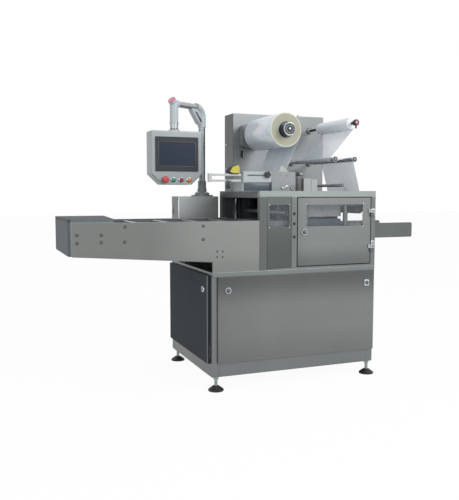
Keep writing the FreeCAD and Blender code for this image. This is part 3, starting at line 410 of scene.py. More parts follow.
@dataclass(frozen=True)
class WoundEdge:
    """Edge of a wound reel: rings round its axis, which runs along the depth."""

    centre: Pair
    colour: Colour = (0.33, 0.325, 0.25)
    rings: float = 420.0

    def dress(self, graph: Graph) -> None:
        """Builds the nodes of the finish; the radius is the root of the squares' sum.

        Args:
            graph: the material's empty node tree.
        """
        across = graph.axis(0) - self.centre[0]
        up = graph.axis(2) - self.centre[1]
        radius = (across * across + up * up) ** 0.5
        joined = graph.node("ShaderNodeCombineXYZ", None, {0: radius * self.rings})
        layer = graph.node("ShaderNodeTexNoise", None,
                           {"Vector": joined.outputs[0], "Scale": 1.0, "Detail": 3.0})
        layer = Signal(graph, layer.outputs[0])
        tone = graph.blend(layer, rgba(self.colour, 0.86), rgba(self.colour, 1.14))
        graph.surface({"Base Color": tone, "Roughness": layer * 0.12 + 0.36,
                       "Coat Weight": 0.25, "Normal": graph.relief(layer, 0.0003, 0.6)})


@dataclass(frozen=True)
class DarkGlass:
    """Switched-off display behind glass, a little paler towards one corner."""

    colour: Colour = (0.004, 0.013, 0.032)
    glow: Colour = (0.014, 0.028, 0.054)

    def dress(self, graph: Graph) -> None:
        """Builds the nodes of the finish.

        Args:
            graph: the material's empty node tree.
        """
        drift = graph.noise(4.0, 1.0)
        smear = graph.noise(30.0, 4.0).ramp(0.45, 0.8)
        graph.surface({
            "Base Color": graph.blend(drift, rgba(self.colour), rgba(self.glow)),
            "Roughness": smear * 0.10 + 0.30, "Specular IOR Level": 0.35})


@dataclass(frozen=True)
class FootSteps:
    """Black rubber pad below, bright turned stem and nut above."""

    rubber: Colour = (0.012, 0.012, 0.013)
    steel: Colour = (0.30, 0.32, 0.33)
    change: float = 0.027

    def dress(self, graph: Graph) -> None:
        """Builds the nodes of the finish.

        Args:
            graph: the material's empty node tree.
        """
        upper = graph.axis(2).ramp(self.change, self.change + 0.001)
        dust = graph.noise(60.0, 4.0)
        graph.surface({
            "Base Color": graph.blend(upper, rgba(self.rubber), rgba(self.steel)),
            "Metallic": upper * 0.9, "Roughness": dust * 0.2 + 0.38 - upper * 0.15,
            "Normal": graph.relief(dust, 0.0002, 0.4)})


@dataclass(frozen=True)
class Lens:
    """Coloured lens or cap of a push button."""

    colour: Colour

    def dress(self, graph: Graph) -> None:
        """Builds the nodes of the finish."""
        cast = graph.noise(90.0, 2.0)
        graph.surface({
            "Base Color": graph.blend(cast, rgba(self.colour, 0.85), rgba(self.colour, 1.15)),
            "Roughness": cast * 0.1 + 0.2, "Coat Weight": 0.5, "Coat Roughness": 0.1})


# Lower front panel: painted shade under the deck's edge at the top, and painted shade towards the
# bottom and the left.
PANEL_STEEL = BrushedSteel((0.186, 0.197, 0.193), Along.LENGTH, (
    Sweep(2, 0.44, 0.62, 1.03, 0.58), Sweep(2, 0.15, 0.34, 0.88, 1.0),
    Sweep(0, 0.0, 0.30, 0.9, 1.0)))
# Front door: painted light towards its top and painted shade towards its left edge.
DOOR_STEEL = BrushedSteel((0.196, 0.209, 0.207), Along.LENGTH, (
    Sweep(2, 0.68, 0.80, 0.74, 1.14), Sweep(0, 0.50, 0.62, 0.9, 1.0)))
# Narrow panel: painted light towards its top.
NARROW_STEEL = BrushedSteel((0.112, 0.126, 0.120), Along.HEIGHT, (
    Sweep(2, 0.72, 1.04, 0.85, 1.2),))
# Upper front frame: painted shade on the left stile, painted light to the right and a painted
# highlight along the top band.
STILE_STEEL = BrushedSteel((0.150, 0.167, 0.163), Along.HEIGHT, (
    Sweep(0, 0.30, 0.48, 0.84, 1.2), Sweep(2, 1.062, 1.072, 1.0, 2.4)))
FRAME_STEEL = BrushedSteel((0.185, 0.198, 0.200), Along.HEIGHT)
DECK_STEEL = BrushedSteel((0.198, 0.218, 0.216))
# Stainless darkened as painted shade, for the upper cabinet's left frame and the inside of its
# panels.
INNER_PAINTED_SHADE_STEEL = BrushedSteel((0.10, 0.11, 0.115), Along.HEIGHT)
# Infeed plates: painted light towards the right and painted shade towards the bottom.
INFEED_STEEL = BrushedSteel((0.195, 0.203, 0.196), Along.LENGTH, (
    Sweep(0, -0.745, -0.62, 1.02, 0.98), Sweep(0, -0.40, 0.02, 1.0, 1.34),
    Sweep(2, 0.67, 0.78, 0.86, 1.0)))
# Infeed hood: painted light on its front band and painted shade on its top.
HOOD_STEEL = BrushedSteel((0.106, 0.120, 0.128), Along.LENGTH, (
    Sweep(1, -0.0005, 0.0015, 2.1, 1.0), Sweep(2, 0.940, 0.946, 1.0, 0.62)), 0.5, 0.1, 0.04)
OUTFEED_STEEL = BrushedSteel((0.140, 0.150, 0.149))
# Film housing: painted shade on its left face, inside the cabinet and towards the right, and
# painted light low on its front.
HOUSING_STEEL = BrushedSteel((0.236, 0.252, 0.258), Along.LENGTH, (
    Sweep(0, 0.3695, 0.3715, 0.40, 1.0), Sweep(2, 1.095, 1.100, 0.3, 1.0),
    Sweep(0, 0.70, 0.95, 1.0, 0.80),
    Sweep(2, 1.26, 1.42, 1.25, 1.0)), 0.42, 0.6)
# Left door: the cabinet's stainless made dark as painted shade on the side away from the lamps.
PAINTED_SHADE_STEEL = BrushedSteel((0.045, 0.053, 0.060), Along.HEIGHT, (), 0.55, 0.0, 0.03)
# Control box: painted shade on its left face and painted light near its front left edge.
BOX_STEEL = BrushedSteel((0.40, 0.42, 0.42), Along.HEIGHT, (
    Sweep(0, 0.001, 0.004, 0.30, 1.0), Sweep(0, 0.02, 0.22, 1.25, 0.92)), 0.36, 0.7)
PENDANT_STEEL = BrushedSteel((0.31, 0.335, 0.345), Along.LENGTH, (), 0.42, 0.5)
# Stainless darkened as painted shade, for the posts inside the tray inlet.
INLET_PAINTED_SHADE_STEEL = BrushedSteel((0.060, 0.068, 0.075), Along.LENGTH)
BED_GREY = Paint((0.11, 0.13, 0.155), 0.4, 0.2)
BAR_STEEL = BrushedSteel((0.30, 0.32, 0.33), Along.DEPTH, (), 0.35, 0.7)
CHROME = Polished((0.42, 0.44, 0.45))
LOCK_CHROME = Polished((0.60, 0.63, 0.65), 0.2)
DARK_METAL = Polished((0.050, 0.056, 0.062), 0.3)
ROLLER_CHROME = Polished((0.52, 0.55, 0.57), 0.24, 0.85, Along.DEPTH)
POST_CHROME = Polished((0.30, 0.325, 0.345), 0.18)
ALUMINIUM = Polished((0.40, 0.415, 0.42), 0.34, 0.8)
# Press columns: aluminium made darker as painted shade inside the cabinet.
COLUMN_PAINTED_SHADE_METAL = Polished((0.16, 0.175, 0.185), 0.3, 0.9)
BRACKET_METAL = Polished((0.24, 0.255, 0.26), 0.4, 0.6)
SLATE_METAL = Polished((0.12, 0.145, 0.165), 0.28, 0.8)
MOULD_METAL = Polished((0.060, 0.080, 0.095), 0.4, 0.6)
CASTING = Paint((0.42, 0.47, 0.50), 0.3, 0.5)
SLEEVE = Paint((0.16, 0.18, 0.195), 0.32, 0.5)
# Date coder: painted shade, darker to the right of x 0.37 m.
CODER_PAINT = Paint((0.37, 0.405, 0.415), 0.42, 0.2, (Sweep(0, 0.366, 0.372, 1.0, 0.66),))
# Air set: painted shade on its left face.
VALVE_PAINT = Paint((0.44, 0.445, 0.45), 0.42, 0.2, (Sweep(0, 0.650, 0.653, 0.34, 1.0),))
PALE_PAINT = Paint((0.38, 0.40, 0.40), 0.42, 0.2)
SLATE = Paint((0.045, 0.062, 0.082), 0.4, 0.2)
BLACK = Moulded((0.016, 0.018, 0.021))
BEZEL_BLACK = Moulded((0.010, 0.013, 0.018), 0.42)
BEZEL_LINE = Moulded((0.085, 0.09, 0.095), 0.3)
RUBBER = Moulded((0.012, 0.012, 0.013), 0.55, 0.0004)
PINK_CAP = Lens((0.66, 0.17, 0.27))
RED_KNOB = Lens((0.35, 0.03, 0.035))
YELLOW = Lens((0.46, 0.41, 0.05))
CREAM = Lens((0.62, 0.63, 0.50))
PLATE = ClearSheet((0.42, 0.46, 0.49), 0.05)
FILM = ClearFilm()


class Palette:
    """Materials made once for each finish."""

    def __init__(self) -> None:
        """Starts with no material."""
        self.made: dict[Any, bpy.types.Material] = {}

    def material(self, finish: Any) -> bpy.types.Material:
        """The material of a finish.

        Args:
            finish: one of the finish classes above.

        Returns:
            Its material, made when first asked for.
        """
        if finish not in self.made:
            name = f"{type(finish).__name__}_{len(self.made) + 1}"
            made = bpy.data.materials.new(name)
            made.use_nodes = True
            finish.dress(Graph(made.node_tree))
            self.made[finish] = made
        return self.made[finish]

    def coat(self, thing: bpy.types.Object, *finishes: Any) -> None:
        """Puts finishes in a thing's material slots.

        Args:
            thing: the object to dress.
            finishes: one for each slot, in order.
        """
        thing.data.materials.clear()
        for finish in finishes:
            thing.data.materials.append(self.material(finish))


PALETTE = Palette()


# Surfaces
Profile = Sequence[Pair]
SHARP_EDGE = math.radians(38)
FOLDED_EDGE = math.radians(40)
NEEDLE = 1e-5  # radius in metres that closes an end


@dataclass
class Form:
    """Points and faces of one closed surface."""

    points: np.ndarray
    quads: np.ndarray
    caps: list[np.ndarray]

    def turned(self, forward: Sequence[float]) -> "Form":
        """Turns the form so that its z axis points forward.

        Args:
            forward: unit vector that the local z axis takes.

        Returns:
            The turned form.
        """
        ahead = np.array(forward, float)
        ahead /= np.linalg.norm(ahead)
        helper = np.array((0.0, 0.0, 1.0)) if abs(ahead[2]) < 0.9 else np.array((1.0, 0.0, 0.0))
        side = np.cross(helper, ahead)
        side /= np.linalg.norm(side)
        basis = np.stack((side, np.cross(ahead, side), ahead))
        return Form(self.points @ basis, self.quads, self.caps)

    def moved(self, offset: Sequence[float]) -> "Form":
        """The form moved by an offset."""
        return Form(self.points + np.array(offset, float), self.quads, self.caps)


Made = list[tuple[Form, Any]]


def skin(grid: np.ndarray, ring: bool = False) -> Form:
    """Joins a grid of loops into a surface.

    Point (i, j) joins (i, j + 1), (i + 1, j + 1) and (i + 1, j), with j running round.

    Args:
        grid: points in loops, shape (loops, points a loop, 3).
        ring: joins the last loop to the first instead of closing both with flat faces.

    Returns:
        The surface, with its faces outwards.
    """
    loops, count = grid.shape[:2]
    first = np.arange(loops if ring else loops - 1)[:, None]
    second = (first + 1) % loops
    here = np.arange(count)[None, :]
    after = (here + 1) % count
    quads = np.stack((first * count + here, first * count + after, second * count + after,
                      second * count + here), axis=-1).reshape(-1, 4)
    points = grid.reshape(-1, 3)
    caps = []
    if not ring:
        caps = [np.arange(count)[::-1], np.arange(count) + (loops - 1) * count]
    middle = points.mean(axis=0)
    corners = points[quads] - middle
    volume = np.einsum("ij,ij->i", corners[:, 0], np.cross(corners[:, 1], corners[:, 2])).sum()
    if volume < 0:
        quads = quads[:, ::-1]
        caps = [cap[::-1] for cap in caps]
    return Form(points, quads, caps)


def lathe(profile: Profile, sides: int = 48, gains: Pair = (1.0, 1.0)) -> Form:
    """Spins a profile round the z axis: x = r cos a, y = r sin a, z = height.

    Args:
        profile: (radius, height) pairs; a radius near zero closes an end.
        sides: points round the axis.
        gains: size that the radii are shares of, and the one for the heights.

    Returns:
        The spun surface.
    """
    line = np.maximum(np.array(profile, float) * gains, ((NEEDLE, -math.inf),))
    angle = np.linspace(0, 2 * math.pi, sides, endpoint=False)
    grid = np.stack((line[:, :1] * np.cos(angle), line[:, :1] * np.sin(angle),
                     np.repeat(line[:, 1:], sides, axis=1)), axis=-1)
    return skin(grid)


def disc(radius: float, top: float, base: float = 0.0) -> Form:
    """A round plate on the z axis from base to top."""
    return lathe([(radius, base), (radius, top), (0, top)])


def rounded_rectangle(width: float, height: float, radius: float, steps: int = 5) -> np.ndarray:
    """Outline of a rectangle about the origin whose corners are quarter circles.

    Args:
        width: size along x.
        height: size along y.
        radius: radius of the corners.
        steps: points in each corner.

    Returns:
        Points in the plane, shape (n, 2).
    """
    corner = np.linspace(0, math.pi / 2, steps)
    angle = (np.arange(4)[:, None] * math.pi / 2 + corner[None, :]).reshape(-1)
    sign_x = np.repeat((1, -1, -1, 1), steps)
    sign_y = np.repeat((1, 1, -1, -1), steps)
    return np.stack((sign_x * (width / 2 - radius) + radius * np.cos(angle),
                     sign_y * (height / 2 - radius) + radius * np.sin(angle)), axis=-1)


def plate(outline: np.ndarray, thick: float, bevel: float = 0.0, steps: int = 3) -> Form:
    """Carries an outline along z with rounded rims.

    Near each end the loop shrinks towards the middle by bevel (1 - cos a) while the height
    gains bevel sin a.

    Args:
        outline: points in the plane.
        thick: length along z, from 0.
        bevel: radius of the rims.
        steps: loops in each rim.

    Returns:
        The solid plate.
    """
    angle = np.linspace(0, math.pi / 2, steps + 1) if bevel else np.array((math.pi / 2,))
    inset = bevel * (1 - np.sin(angle))
    height = bevel * (1 - np.cos(angle))
    insets = np.concatenate((inset, inset[::-1]))
    heights = np.concatenate((height, thick - height[::-1]))
    middle = outline.mean(axis=0)
    reach = np.abs(outline - middle).max(axis=0)
    scale = 1 - insets[:, None] / reach[None, :]
    flat = middle + (outline - middle)[None, :, :] * scale[:, None, :]
    tall = np.repeat(heights[:, None, None], outline.shape[0], axis=1)
    return skin(np.concatenate((flat, tall), axis=-1))


def block(low: Sequence[float], high: Sequence[float], round_: float = 0.001) -> Form:
    """A box between two corners with rounded upright edges and rims.

    Args:
        low: lowest corner.
        high: highest corner.
        round_: radius of the edges.

    Returns:
        The box.
    """
    low, high = np.array(low, float), np.array(high, float)
    size = high - low
    form = plate(rounded_rectangle(size[0], size[1], round_, 3), size[2], round_, 2)
    return form.moved((low[0] + size[0] / 2, low[1] + size[1] / 2, low[2]))


def ring(radius: float, wire: float, sides: int = 40, around: int = 12) -> Form:
    """A torus about the z axis: the wire's circle carried round the ring.

    Args:
        radius: radius of the ring's centre line.
        wire: radius of the wire.
        sides: points round the ring.
        around: points round the wire.

    Returns:
        The ring.
    """
    turn = np.linspace(0, 2 * math.pi, sides, endpoint=False)[:, None]
    wind = np.linspace(0, 2 * math.pi, around, endpoint=False)[None, :]
    reach = radius + wire * np.cos(wind)
    grid = np.stack((reach * np.cos(turn), reach * np.sin(turn),
                     np.broadcast_to(wire * np.sin(wind), reach.shape) + 0 * turn), axis=-1)
    return skin(grid, ring=True)


def linked(name: str, data: bpy.types.ID) -> bpy.types.Object:
    """A new object of a mesh, lamp or camera, in the scene.

    Args:
        name: the object's name.
        data: what it shows.

    Returns:
        The object.
    """
    thing = bpy.data.objects.new(name, data)
    bpy.context.scene.collection.objects.link(thing)
    return thing


def make_piece(name: str, forms: Made, body: str,
               replaces: Sequence[str] = ()) -> None:
    """Makes one object of several forms and their finishes, and puts it on its body.

    Args:
        name: the piece's name.
        forms: pairs of a form and its finish.
        body: the body that it rides on.
        replaces: nodes that it stands for.
    """
    finishes = list(dict.fromkeys(finish for _, finish in forms))
    points = np.concatenate([form.points for form, _ in forms])
    faces: list[list[int]] = []
    paints: list[int] = []
    start = 0
    for form, finish in forms:
        found = (form.quads + start).tolist() + [(cap + start).tolist() for cap in form.caps]
        faces += found
        paints += [finishes.index(finish)] * len(found)
        start += len(form.points)
    mesh = bpy.data.meshes.new(name)
    mesh.from_pydata(points.tolist(), [], faces)
    mesh.shade_smooth()
    mesh.set_sharp_from_angle(angle=SHARP_EDGE)
    mesh.update()
    thing = linked(name, mesh)
    PALETTE.coat(thing, *finishes)
    mesh.polygons.foreach_set("material_index", paints)
    mesh.update()
    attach(thing, body)
    if replaces:
        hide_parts(*replaces)
    LOG.info("%s rides on %s with %d faces", name, body, len(faces))


def dress_node(node: str, finish: Any, edge: float = 0.0, sheet: bool = False) -> None:
    """Gives a node of the frame its finish, and its folded edges a small round.

    Args:
        node: the node's name.
        finish: its finish.
        edge: radius of the edges in metres, 0 for none.
        sheet: joins the facets of each flat side first, as a sheet with holes needs.
    """
    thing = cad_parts[node]
    PALETTE.coat(thing, finish)
    if edge:
        weld = thing.modifiers.new("Weld", "WELD")
        weld.merge_threshold = 0.00002
        if sheet:
            planes = thing.modifiers.new("Planes", "DECIMATE")
            planes.decimate_type = "DISSOLVE"
            planes.angle_limit = math.radians(1)
        bevel = thing.modifiers.new("Round", "BEVEL")
        bevel.width = edge
        bevel.segments = 2
        bevel.limit_method = "ANGLE"
        bevel.angle_limit = FOLDED_EDGE
        bevel.use_clamp_overlap = True
    LOG.info("%s is dressed", node)


@dataclass(frozen=True)
class Datum:
    """Front left corner of the lower cabinet on the floor, from which fittings are placed."""

    left: float
    front: float

    def at(self, x: float, y: float, z: float) -> np.ndarray:
        """A point x to the right, y behind the front plane and z over the floor."""
        return np.array((self.left + x, self.front + y, z))


DATUM = Datum(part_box("base_posts")[0].x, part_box("deck_plate")[0].y)
TO_FRONT = (0.0, -1.0, 0.0)
TO_REAR = (0.0, 1.0, 0.0)
TO_LEFT = (-1.0, 0.0, 0.0)


def middle(node: str) -> np.ndarray:
    """Middle of a node's box."""
    low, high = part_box(node)
    return (np.array(low) + np.array(high)) / 2


def near_middle(node: str) -> np.ndarray:
    """Middle of the near face of a node's box."""
    x, _, z = middle(node)
    return np.array((x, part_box(node)[0].y, z))


def facing(made: Made, forward: Sequence[float], place: Sequence[float]) -> Made:
    """The same forms with their z axis turned forward and their origin moved to a place."""
    return [(form.turned(forward).moved(place), finish) for form, finish in made]


def screw_head(radius: float, height: float) -> Form:
    """A domed head whose profile is a quarter ellipse.

    Args:
        radius: half of its width.
        height: its height over the base.

    Returns:
        The head on the z axis.
    """
    angle = np.linspace(0, math.pi / 2, 6)
    profile = [(radius, 0.0)] + [(radius * math.cos(a), height * math.sin(a)) for a in angle]
    return lathe(profile, 20)


def border(low: Vector, high: Vector, gap: float, wide: float,
           depth: Pair, lap: float = 0.0) -> list[Form]:
    """Four bars round an upright rectangle.

    Args:
        low: the rectangle's lowest corner.
        high: its highest corner.
        gap: how far the bars reach outside it.
        wide: width of a bar.
        depth: nearest and farthest y of the bars.
        lap: how far the level bars run into the upright ones.

    Returns:
        The bars.
    """
    left, under, right, over = low.x - gap, low.z - gap, high.x + gap, high.z + gap
    spans = (((left, under), (left + wide, over)), ((right - wide, under), (right, over)),
             ((left + wide - lap, under), (right - wide + lap, under + wide)),
             ((left + wide - lap, over - wide), (right - wide + lap, over)))
    return [block((a, depth[0], b), (c, depth[1], d), 0.0001) for (a, b), (c, d) in spans]


@dataclass(frozen=True)
class Lock:
    """Quarter-turn lock: rim, dark dish and keyed barrel in front of its panel.

    The profiles are shares of the radius and of the stand.
    """

    radius: float = 0.018
    stand: float = 0.010
    neck: float = 0.0115
    rim: Profile = ((1, 0), (1, 0.5), (0.92, 0.8), (0.72, 0.8), (0.66, 0.6), (0, 0.6))
    dish: Profile = ((0.66, 0.6), (0.66, 0.66), (0, 0.66))
    barrel: Profile = ((0.44, 0), (0.44, 0.92), (0.38, 1), (0, 1))
    square_rim: Point = (1.8, 2.0, 0.3)
    square_stand: float = 0.6
    keyway: Pair = (0.0010, 0.3)

    def forms(self, place: Sequence[float], forward: Sequence[float],
              square: bool = False) -> Made:
        """The lock's forms.

        Args:
            place: middle of the lock in the panel's face.
            forward: unit vector out of the panel.
            square: True for a rim with four sides.

        Returns:
            Pairs of a form and its finish.
        """
        gains = (self.radius, self.stand)
        wide, high = gains
        rim = lathe(self.rim, gains=gains)
        if square:
            outline = rounded_rectangle(*(wide * share for share in self.square_rim))
            rim = plate(outline, high * self.square_stand, 0.0012)
        half, reach = self.keyway[0], self.keyway[1] * wide
        keyway = block((-half, -reach, high * 0.98), (half, reach, high * 1.02), 0.0003)
        neck = lathe([(wide * 0.6, -self.neck), (wide * 0.6, 0)])
        made = [(rim, LOCK_CHROME), (lathe(self.dish, gains=gains), DARK_METAL),
                (lathe(self.barrel, gains=gains), SLATE_METAL), (keyway, BLACK),
                (neck, DARK_METAL)]
        return facing(made, forward, place)


@dataclass
class Cabinet:
    """Lower and upper cabinet with their doors, windows, locks and plugs."""

    # Inside the upper panels the steel carries painted shade; skin_gain lifts the outer skin above
    # it.
    skin_depths: Pair = (0.0009, 0.0006)
    skin_gain: float = 1.9
    screw_radius: float = 0.0042
    screw_inset: float = 0.004
    plug_radius: float = 0.0094
    plug_heights: tuple[float, ...] = (0.972, 0.916, 0.841)
    plug_x: float = 0.490
    reveal: float = 0.0022
    leaf: Point = (0.022, 0.044, 0.0016)
    leaf_lap: float = 0.002
    leaf_screw: Pair = (0.0044, 0.0010)
    leaf_sink: float = 0.0002
    joint_depth: Pair = (-0.0003, 0.0006)
    strip: float = 0.002
    strip_proud: float = 0.0004

    def build(self) -> None:
        """Dresses the nodes and adds the small fittings."""
        for node, finish, edge in (("lower_front_panel", PANEL_STEEL, 0.0012),
                                   ("narrow_panel", NARROW_STEEL, 0.0008),
                                   ("front_door", DOOR_STEEL, 0.0012),
                                   ("upper_front_frame", STILE_STEEL, 0.0015)):
            dress_node(node, finish, edge, True)
        for node in ("base_posts", "base_rails", "lower_panels"):
            dress_node(node, FRAME_STEEL, 0.002)
        for node in ("deck_plate", "top_plate"):
            dress_node(node, DECK_STEEL, 0.0015)
        dress_node("upper_left_frame", INNER_PAINTED_SHADE_STEEL, 0.0015)
        dress_node("upper_panels", self.painted_shade_inner_steel(), 0.0015)
        dress_node("left_door", PAINTED_SHADE_STEEL, 0.002)
        dress_node("door_hinges", ALUMINIUM)
        dress_node("frame_hinges", SLATE_METAL)
        dress_node("levelling_feet", FootSteps())
        for node in ("narrow_window", "door_window"):
            dress_node(node, PLATE)
        self.window_screws("narrow_window", "narrow_panel", "root", 0.005)
        self.window_screws("door_window", "front_door", "front_door", 0.012)
        self.plugs()
        self.locks()
        self.hinge_leaves()
        self.reveals()

    def painted_shade_inner_steel(self) -> BrushedSteel:
        """Steel with painted shade inside the upper cabinet, lifted to a paler tone on its outer
        skin.

        Returns:
            The finish, with its painted shade gains across the skin's depth.
        """
        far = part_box("upper_panels")[1] - Vector(DATUM.at(0, 0, 0))
        deep, shallow = self.skin_depths
        gains = tuple(Sweep(axis, far[axis] - deep, far[axis] - shallow, 1.0, self.skin_gain)
                      for axis in (0, 1))
        return BrushedSteel(INNER_PAINTED_SHADE_STEEL.colour, Along.HEIGHT, gains)

    def window_screws(self, window: str, panel: str, body: str, cover: float) -> None:
        """Four bright screws at the corners of a window.

        Args:
            window: the plate's node.
            panel: the sheet that holds it.
            body: the body of both.
            cover: how far the plate reaches behind the sheet.
        """
        low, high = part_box(window)
        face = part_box(panel)[0].y
        head = screw_head(self.screw_radius, self.screw_radius * 0.6).turned(TO_FRONT)
        inset = cover - self.screw_inset
        forms = [(head.moved((x, face, z)), CHROME)
                 for x in (low.x + inset, high.x - inset) for z in (low.z + inset, high.z - inset)]
        make_piece(f"{window}_screws", forms, body)

    def plugs(self) -> None:
        """Three black plugs on the stile beside the door."""
        head = screw_head(self.plug_radius, self.plug_radius * 0.12).turned(TO_FRONT)
        forms = [(head.moved(DATUM.at(self.plug_x, 0, z)), RUBBER) for z in self.plug_heights]
        make_piece("stile_plugs", forms, "root")

    def locks(self) -> None:
        """Locks of the lower panel, the front door and the left door."""
        lock = Lock()
        low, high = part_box("lower_panel_locks")
        face, level = low.y + lock.stand, (low.z + high.z) / 2
        forms = lock.forms((low.x + lock.radius, face, level), TO_FRONT)
        forms += lock.forms((high.x - lock.radius, face, level), TO_FRONT, True)
        make_piece("panel_locks", forms, "root", ["lower_panel_locks"])
        place = near_middle("door_lock") + (0, lock.stand, 0)
        make_piece("front_door_lock", lock.forms(place, TO_FRONT), "front_door",
                   ["door_lock"])
        place = middle("left_door_lock")
        place[0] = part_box("left_door_lock")[0].x + lock.stand
        make_piece("side_door_lock", lock.forms(place, TO_LEFT), "left_door",
                   ["left_door_lock"])

    def hinge_leaves(self) -> None:
        """Bright leaf beside each knuckle of the front door, with its dark screws."""
        low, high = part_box("door_hinges")
        wide, tall, thick = self.leaf
        half = tall / 2
        face = DATUM.front
        forms: Made = []
        for level in (low.z + half, high.z - half):
            leaf = block((high.x - self.leaf_lap, face - thick, level - half),
                         (high.x + wide, face + self.leaf_sink, level + half), 0.0005)
            forms.append((leaf, ALUMINIUM))
            screw = screw_head(*self.leaf_screw).turned(TO_FRONT)
            for step in (-0.5, 0.5):
                place = (high.x + wide * 0.5, face - thick + self.leaf_sink, level + half * step)
                forms.append((screw.moved(place), RUBBER))
        make_piece("hinge_leaves", forms, "root")

    def reveals(self) -> None:
        """Dark joint round the narrow panel, and a bright chrome strip that stands for the left
        door's folded edge and paints its highlight.
        """
        low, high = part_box("narrow_panel")
        near, far = (low.y + step for step in self.joint_depth)
        bars = border(low, high, self.reveal, self.reveal, (near, far))
        make_piece("narrow_panel_joint", [(bar, RUBBER) for bar in bars], "root")
        # Bright chrome strip along the door's front fold: the fold itself with a painted
        # highlight.
        low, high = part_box("left_door")
        proud = self.strip_proud
        edge = block((low.x - proud, low.y - proud, low.z + self.strip),
                     (low.x - proud + self.strip, low.y - proud + self.strip,
                      high.z - self.strip), proud)
        make_piece("left_door_edge_highlight", [(edge, CHROME)], "left_door")


@dataclass
class Infeed:
    """Infeed with its hood, bed, chains and bolts."""

    bolts: tuple[Pair, ...] = (
        (-0.716, 0.878), (-0.717, 0.838), (-0.596, 0.876), (-0.597, 0.840), (-0.474, 0.916),
        (-0.477, 0.839), (-0.052, 0.913), (-0.053, 0.841))
    plate_bolts: tuple[Pair, ...] = (
        (0.026, 0.774), (0.058, 0.773), (0.026, 0.744), (0.058, 0.743))
    bolt_radius: float = 0.0065
    washer: float = 0.0008

    def build(self) -> None:
        """Dresses the nodes and adds the bolts."""
        dress_node("infeed_side_plates", INFEED_STEEL, 0.0012)
        dress_node("infeed_bottom_pan", FRAME_STEEL)
        dress_node("infeed_end_cover", HOOD_STEEL, 0.003)
        dress_node("carrier_chains", BED_GREY)
        dress_node("cross_bars", BAR_STEEL, 0.001)
        dress_node("tray_bed", BED_GREY)
        wide = self.bolt_radius
        head = screw_head(wide * 0.85, wide * 0.6).moved((0, 0, self.washer * 0.75))
        forms: Made = []
        for form, finish, spots in ((disc(wide * 1.25, self.washer), DARK_METAL, self.bolts),
                                    (head, SLATE_METAL, self.bolts),
                                    (screw_head(wide * 0.75, wide * 0.4), BLACK,
                                     self.plate_bolts)):
            for x, z in spots:
                forms += facing([(form, finish)], TO_FRONT, DATUM.at(x, 0, z))
        make_piece("infeed_bolts", forms, "root")


@dataclass
class Outfeed:
    """Short outfeed belt between its plates."""

    def build(self) -> None:
        """Dresses the nodes."""
        dress_node("outfeed_side_plates", OUTFEED_STEEL, 0.001)
        dress_node("outfeed_belt", RUBBER)


@dataclass
class PendantArm:
    """Control box, post and swan-neck arm.

    The web's points count outwards from the post's axis and upwards from the tube's.
    """

    handle: Point = (0.0, 0.738, 0.985)
    pull: Point = (0.018, 0.062, 0.008)
    cup: Point = (0.009, 0.046, 0.004)
    pull_thick: float = 0.004
    cup_proud: float = 0.0004
    bands: tuple[Pair, ...] = ((0.77, 0.0016), (0.74, 0.0012))
    band_drop: float = 0.0022
    band_rise: float = 0.016
    post: Pair = (0.184, 0.700)
    web_thick: float = 0.032
    web: Profile = (
        (0.0, -0.106), (0.040, -0.106), (0.112, -0.026), (0.112, -0.012), (0.0, -0.012))
    # Dark slate patch on the web's side: painted shade of the casting's lower inner bend.
    web_shade_patch: Profile = ((0.012, -0.092), (0.030, -0.092), (0.088, -0.030), (0.066, -0.030))
    shade_patch_proud: float = 0.0008
    web_screw: Pair = (0.0042, 0.0026)
    web_screw_place: Pair = (0.040, -0.068)

    def build(self) -> None:
        """Dresses the nodes and adds the web, the box's pull and the coupling's rings."""
        dress_node("control_box", BOX_STEEL, 0.002)
        dress_node("post_socket", SLEEVE)
        dress_node("arm_post", POST_CHROME)
        dress_node("arm_head", CASTING)
        dress_node("arm_tube", ALUMINIUM)
        dress_node("arm_elbow", CASTING)
        dress_node("arm_cap", PINK_CAP)
        self.gusset()
        pull = plate(rounded_rectangle(*self.pull), self.pull_thick, 0.0015)
        cup = plate(rounded_rectangle(*self.cup), self.pull_thick + self.cup_proud, 0.0005)
        made = facing([(pull, CHROME), (cup, DARK_METAL)], TO_LEFT, DATUM.at(*self.handle))
        make_piece("box_pull", made, "root")
        low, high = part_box("pendant_coupling")
        x, y, _ = middle("pendant_coupling")
        wide = (high.x - low.x) / 2
        levels = (high.z - self.band_drop, low.z + self.band_rise)
        bands = [(ring(wide * share, wire).moved((x, y, level)), DARK_METAL)
                 for (share, wire), level in zip(self.bands, levels)]
        make_piece("coupling_rings", bands, "pendant")

    def gusset(self) -> None:
        """Web below the arm in the corner of its head, with a dark slate patch on its side as
        painted shade, and a screw.

        The web lies in the upright plane from the post's axis to the hanging axis.
        """
        post = DATUM.at(*self.post, 0)
        along = (middle("pendant_coupling") - post) * (1, 1, 0)
        along /= np.linalg.norm(along)
        across = np.array((along[1], -along[0], 0.0))
        corner = post + (0, 0, middle("arm_tube")[2]) - across * self.web_thick / 2
        proud = self.shade_patch_proud
        web = plate(np.array(self.web), self.web_thick, 0.002)
        # The dark slate patch is painted shade on the web's side.
        cover = plate(np.array(self.web_shade_patch), self.web_thick + 2 * proud, 0.0004)
        out, down = self.web_screw_place
        seat = corner + across * (self.web_thick + proud) + along * out + (0, 0, down)
        made = facing([(web, CASTING)], across, corner)
        made += facing([(cover, SLATE_METAL)], across, corner - across * proud)
        made += facing([(screw_head(*self.web_screw), CHROME)], across, seat)
        make_piece("arm_gusset", made, "arm")


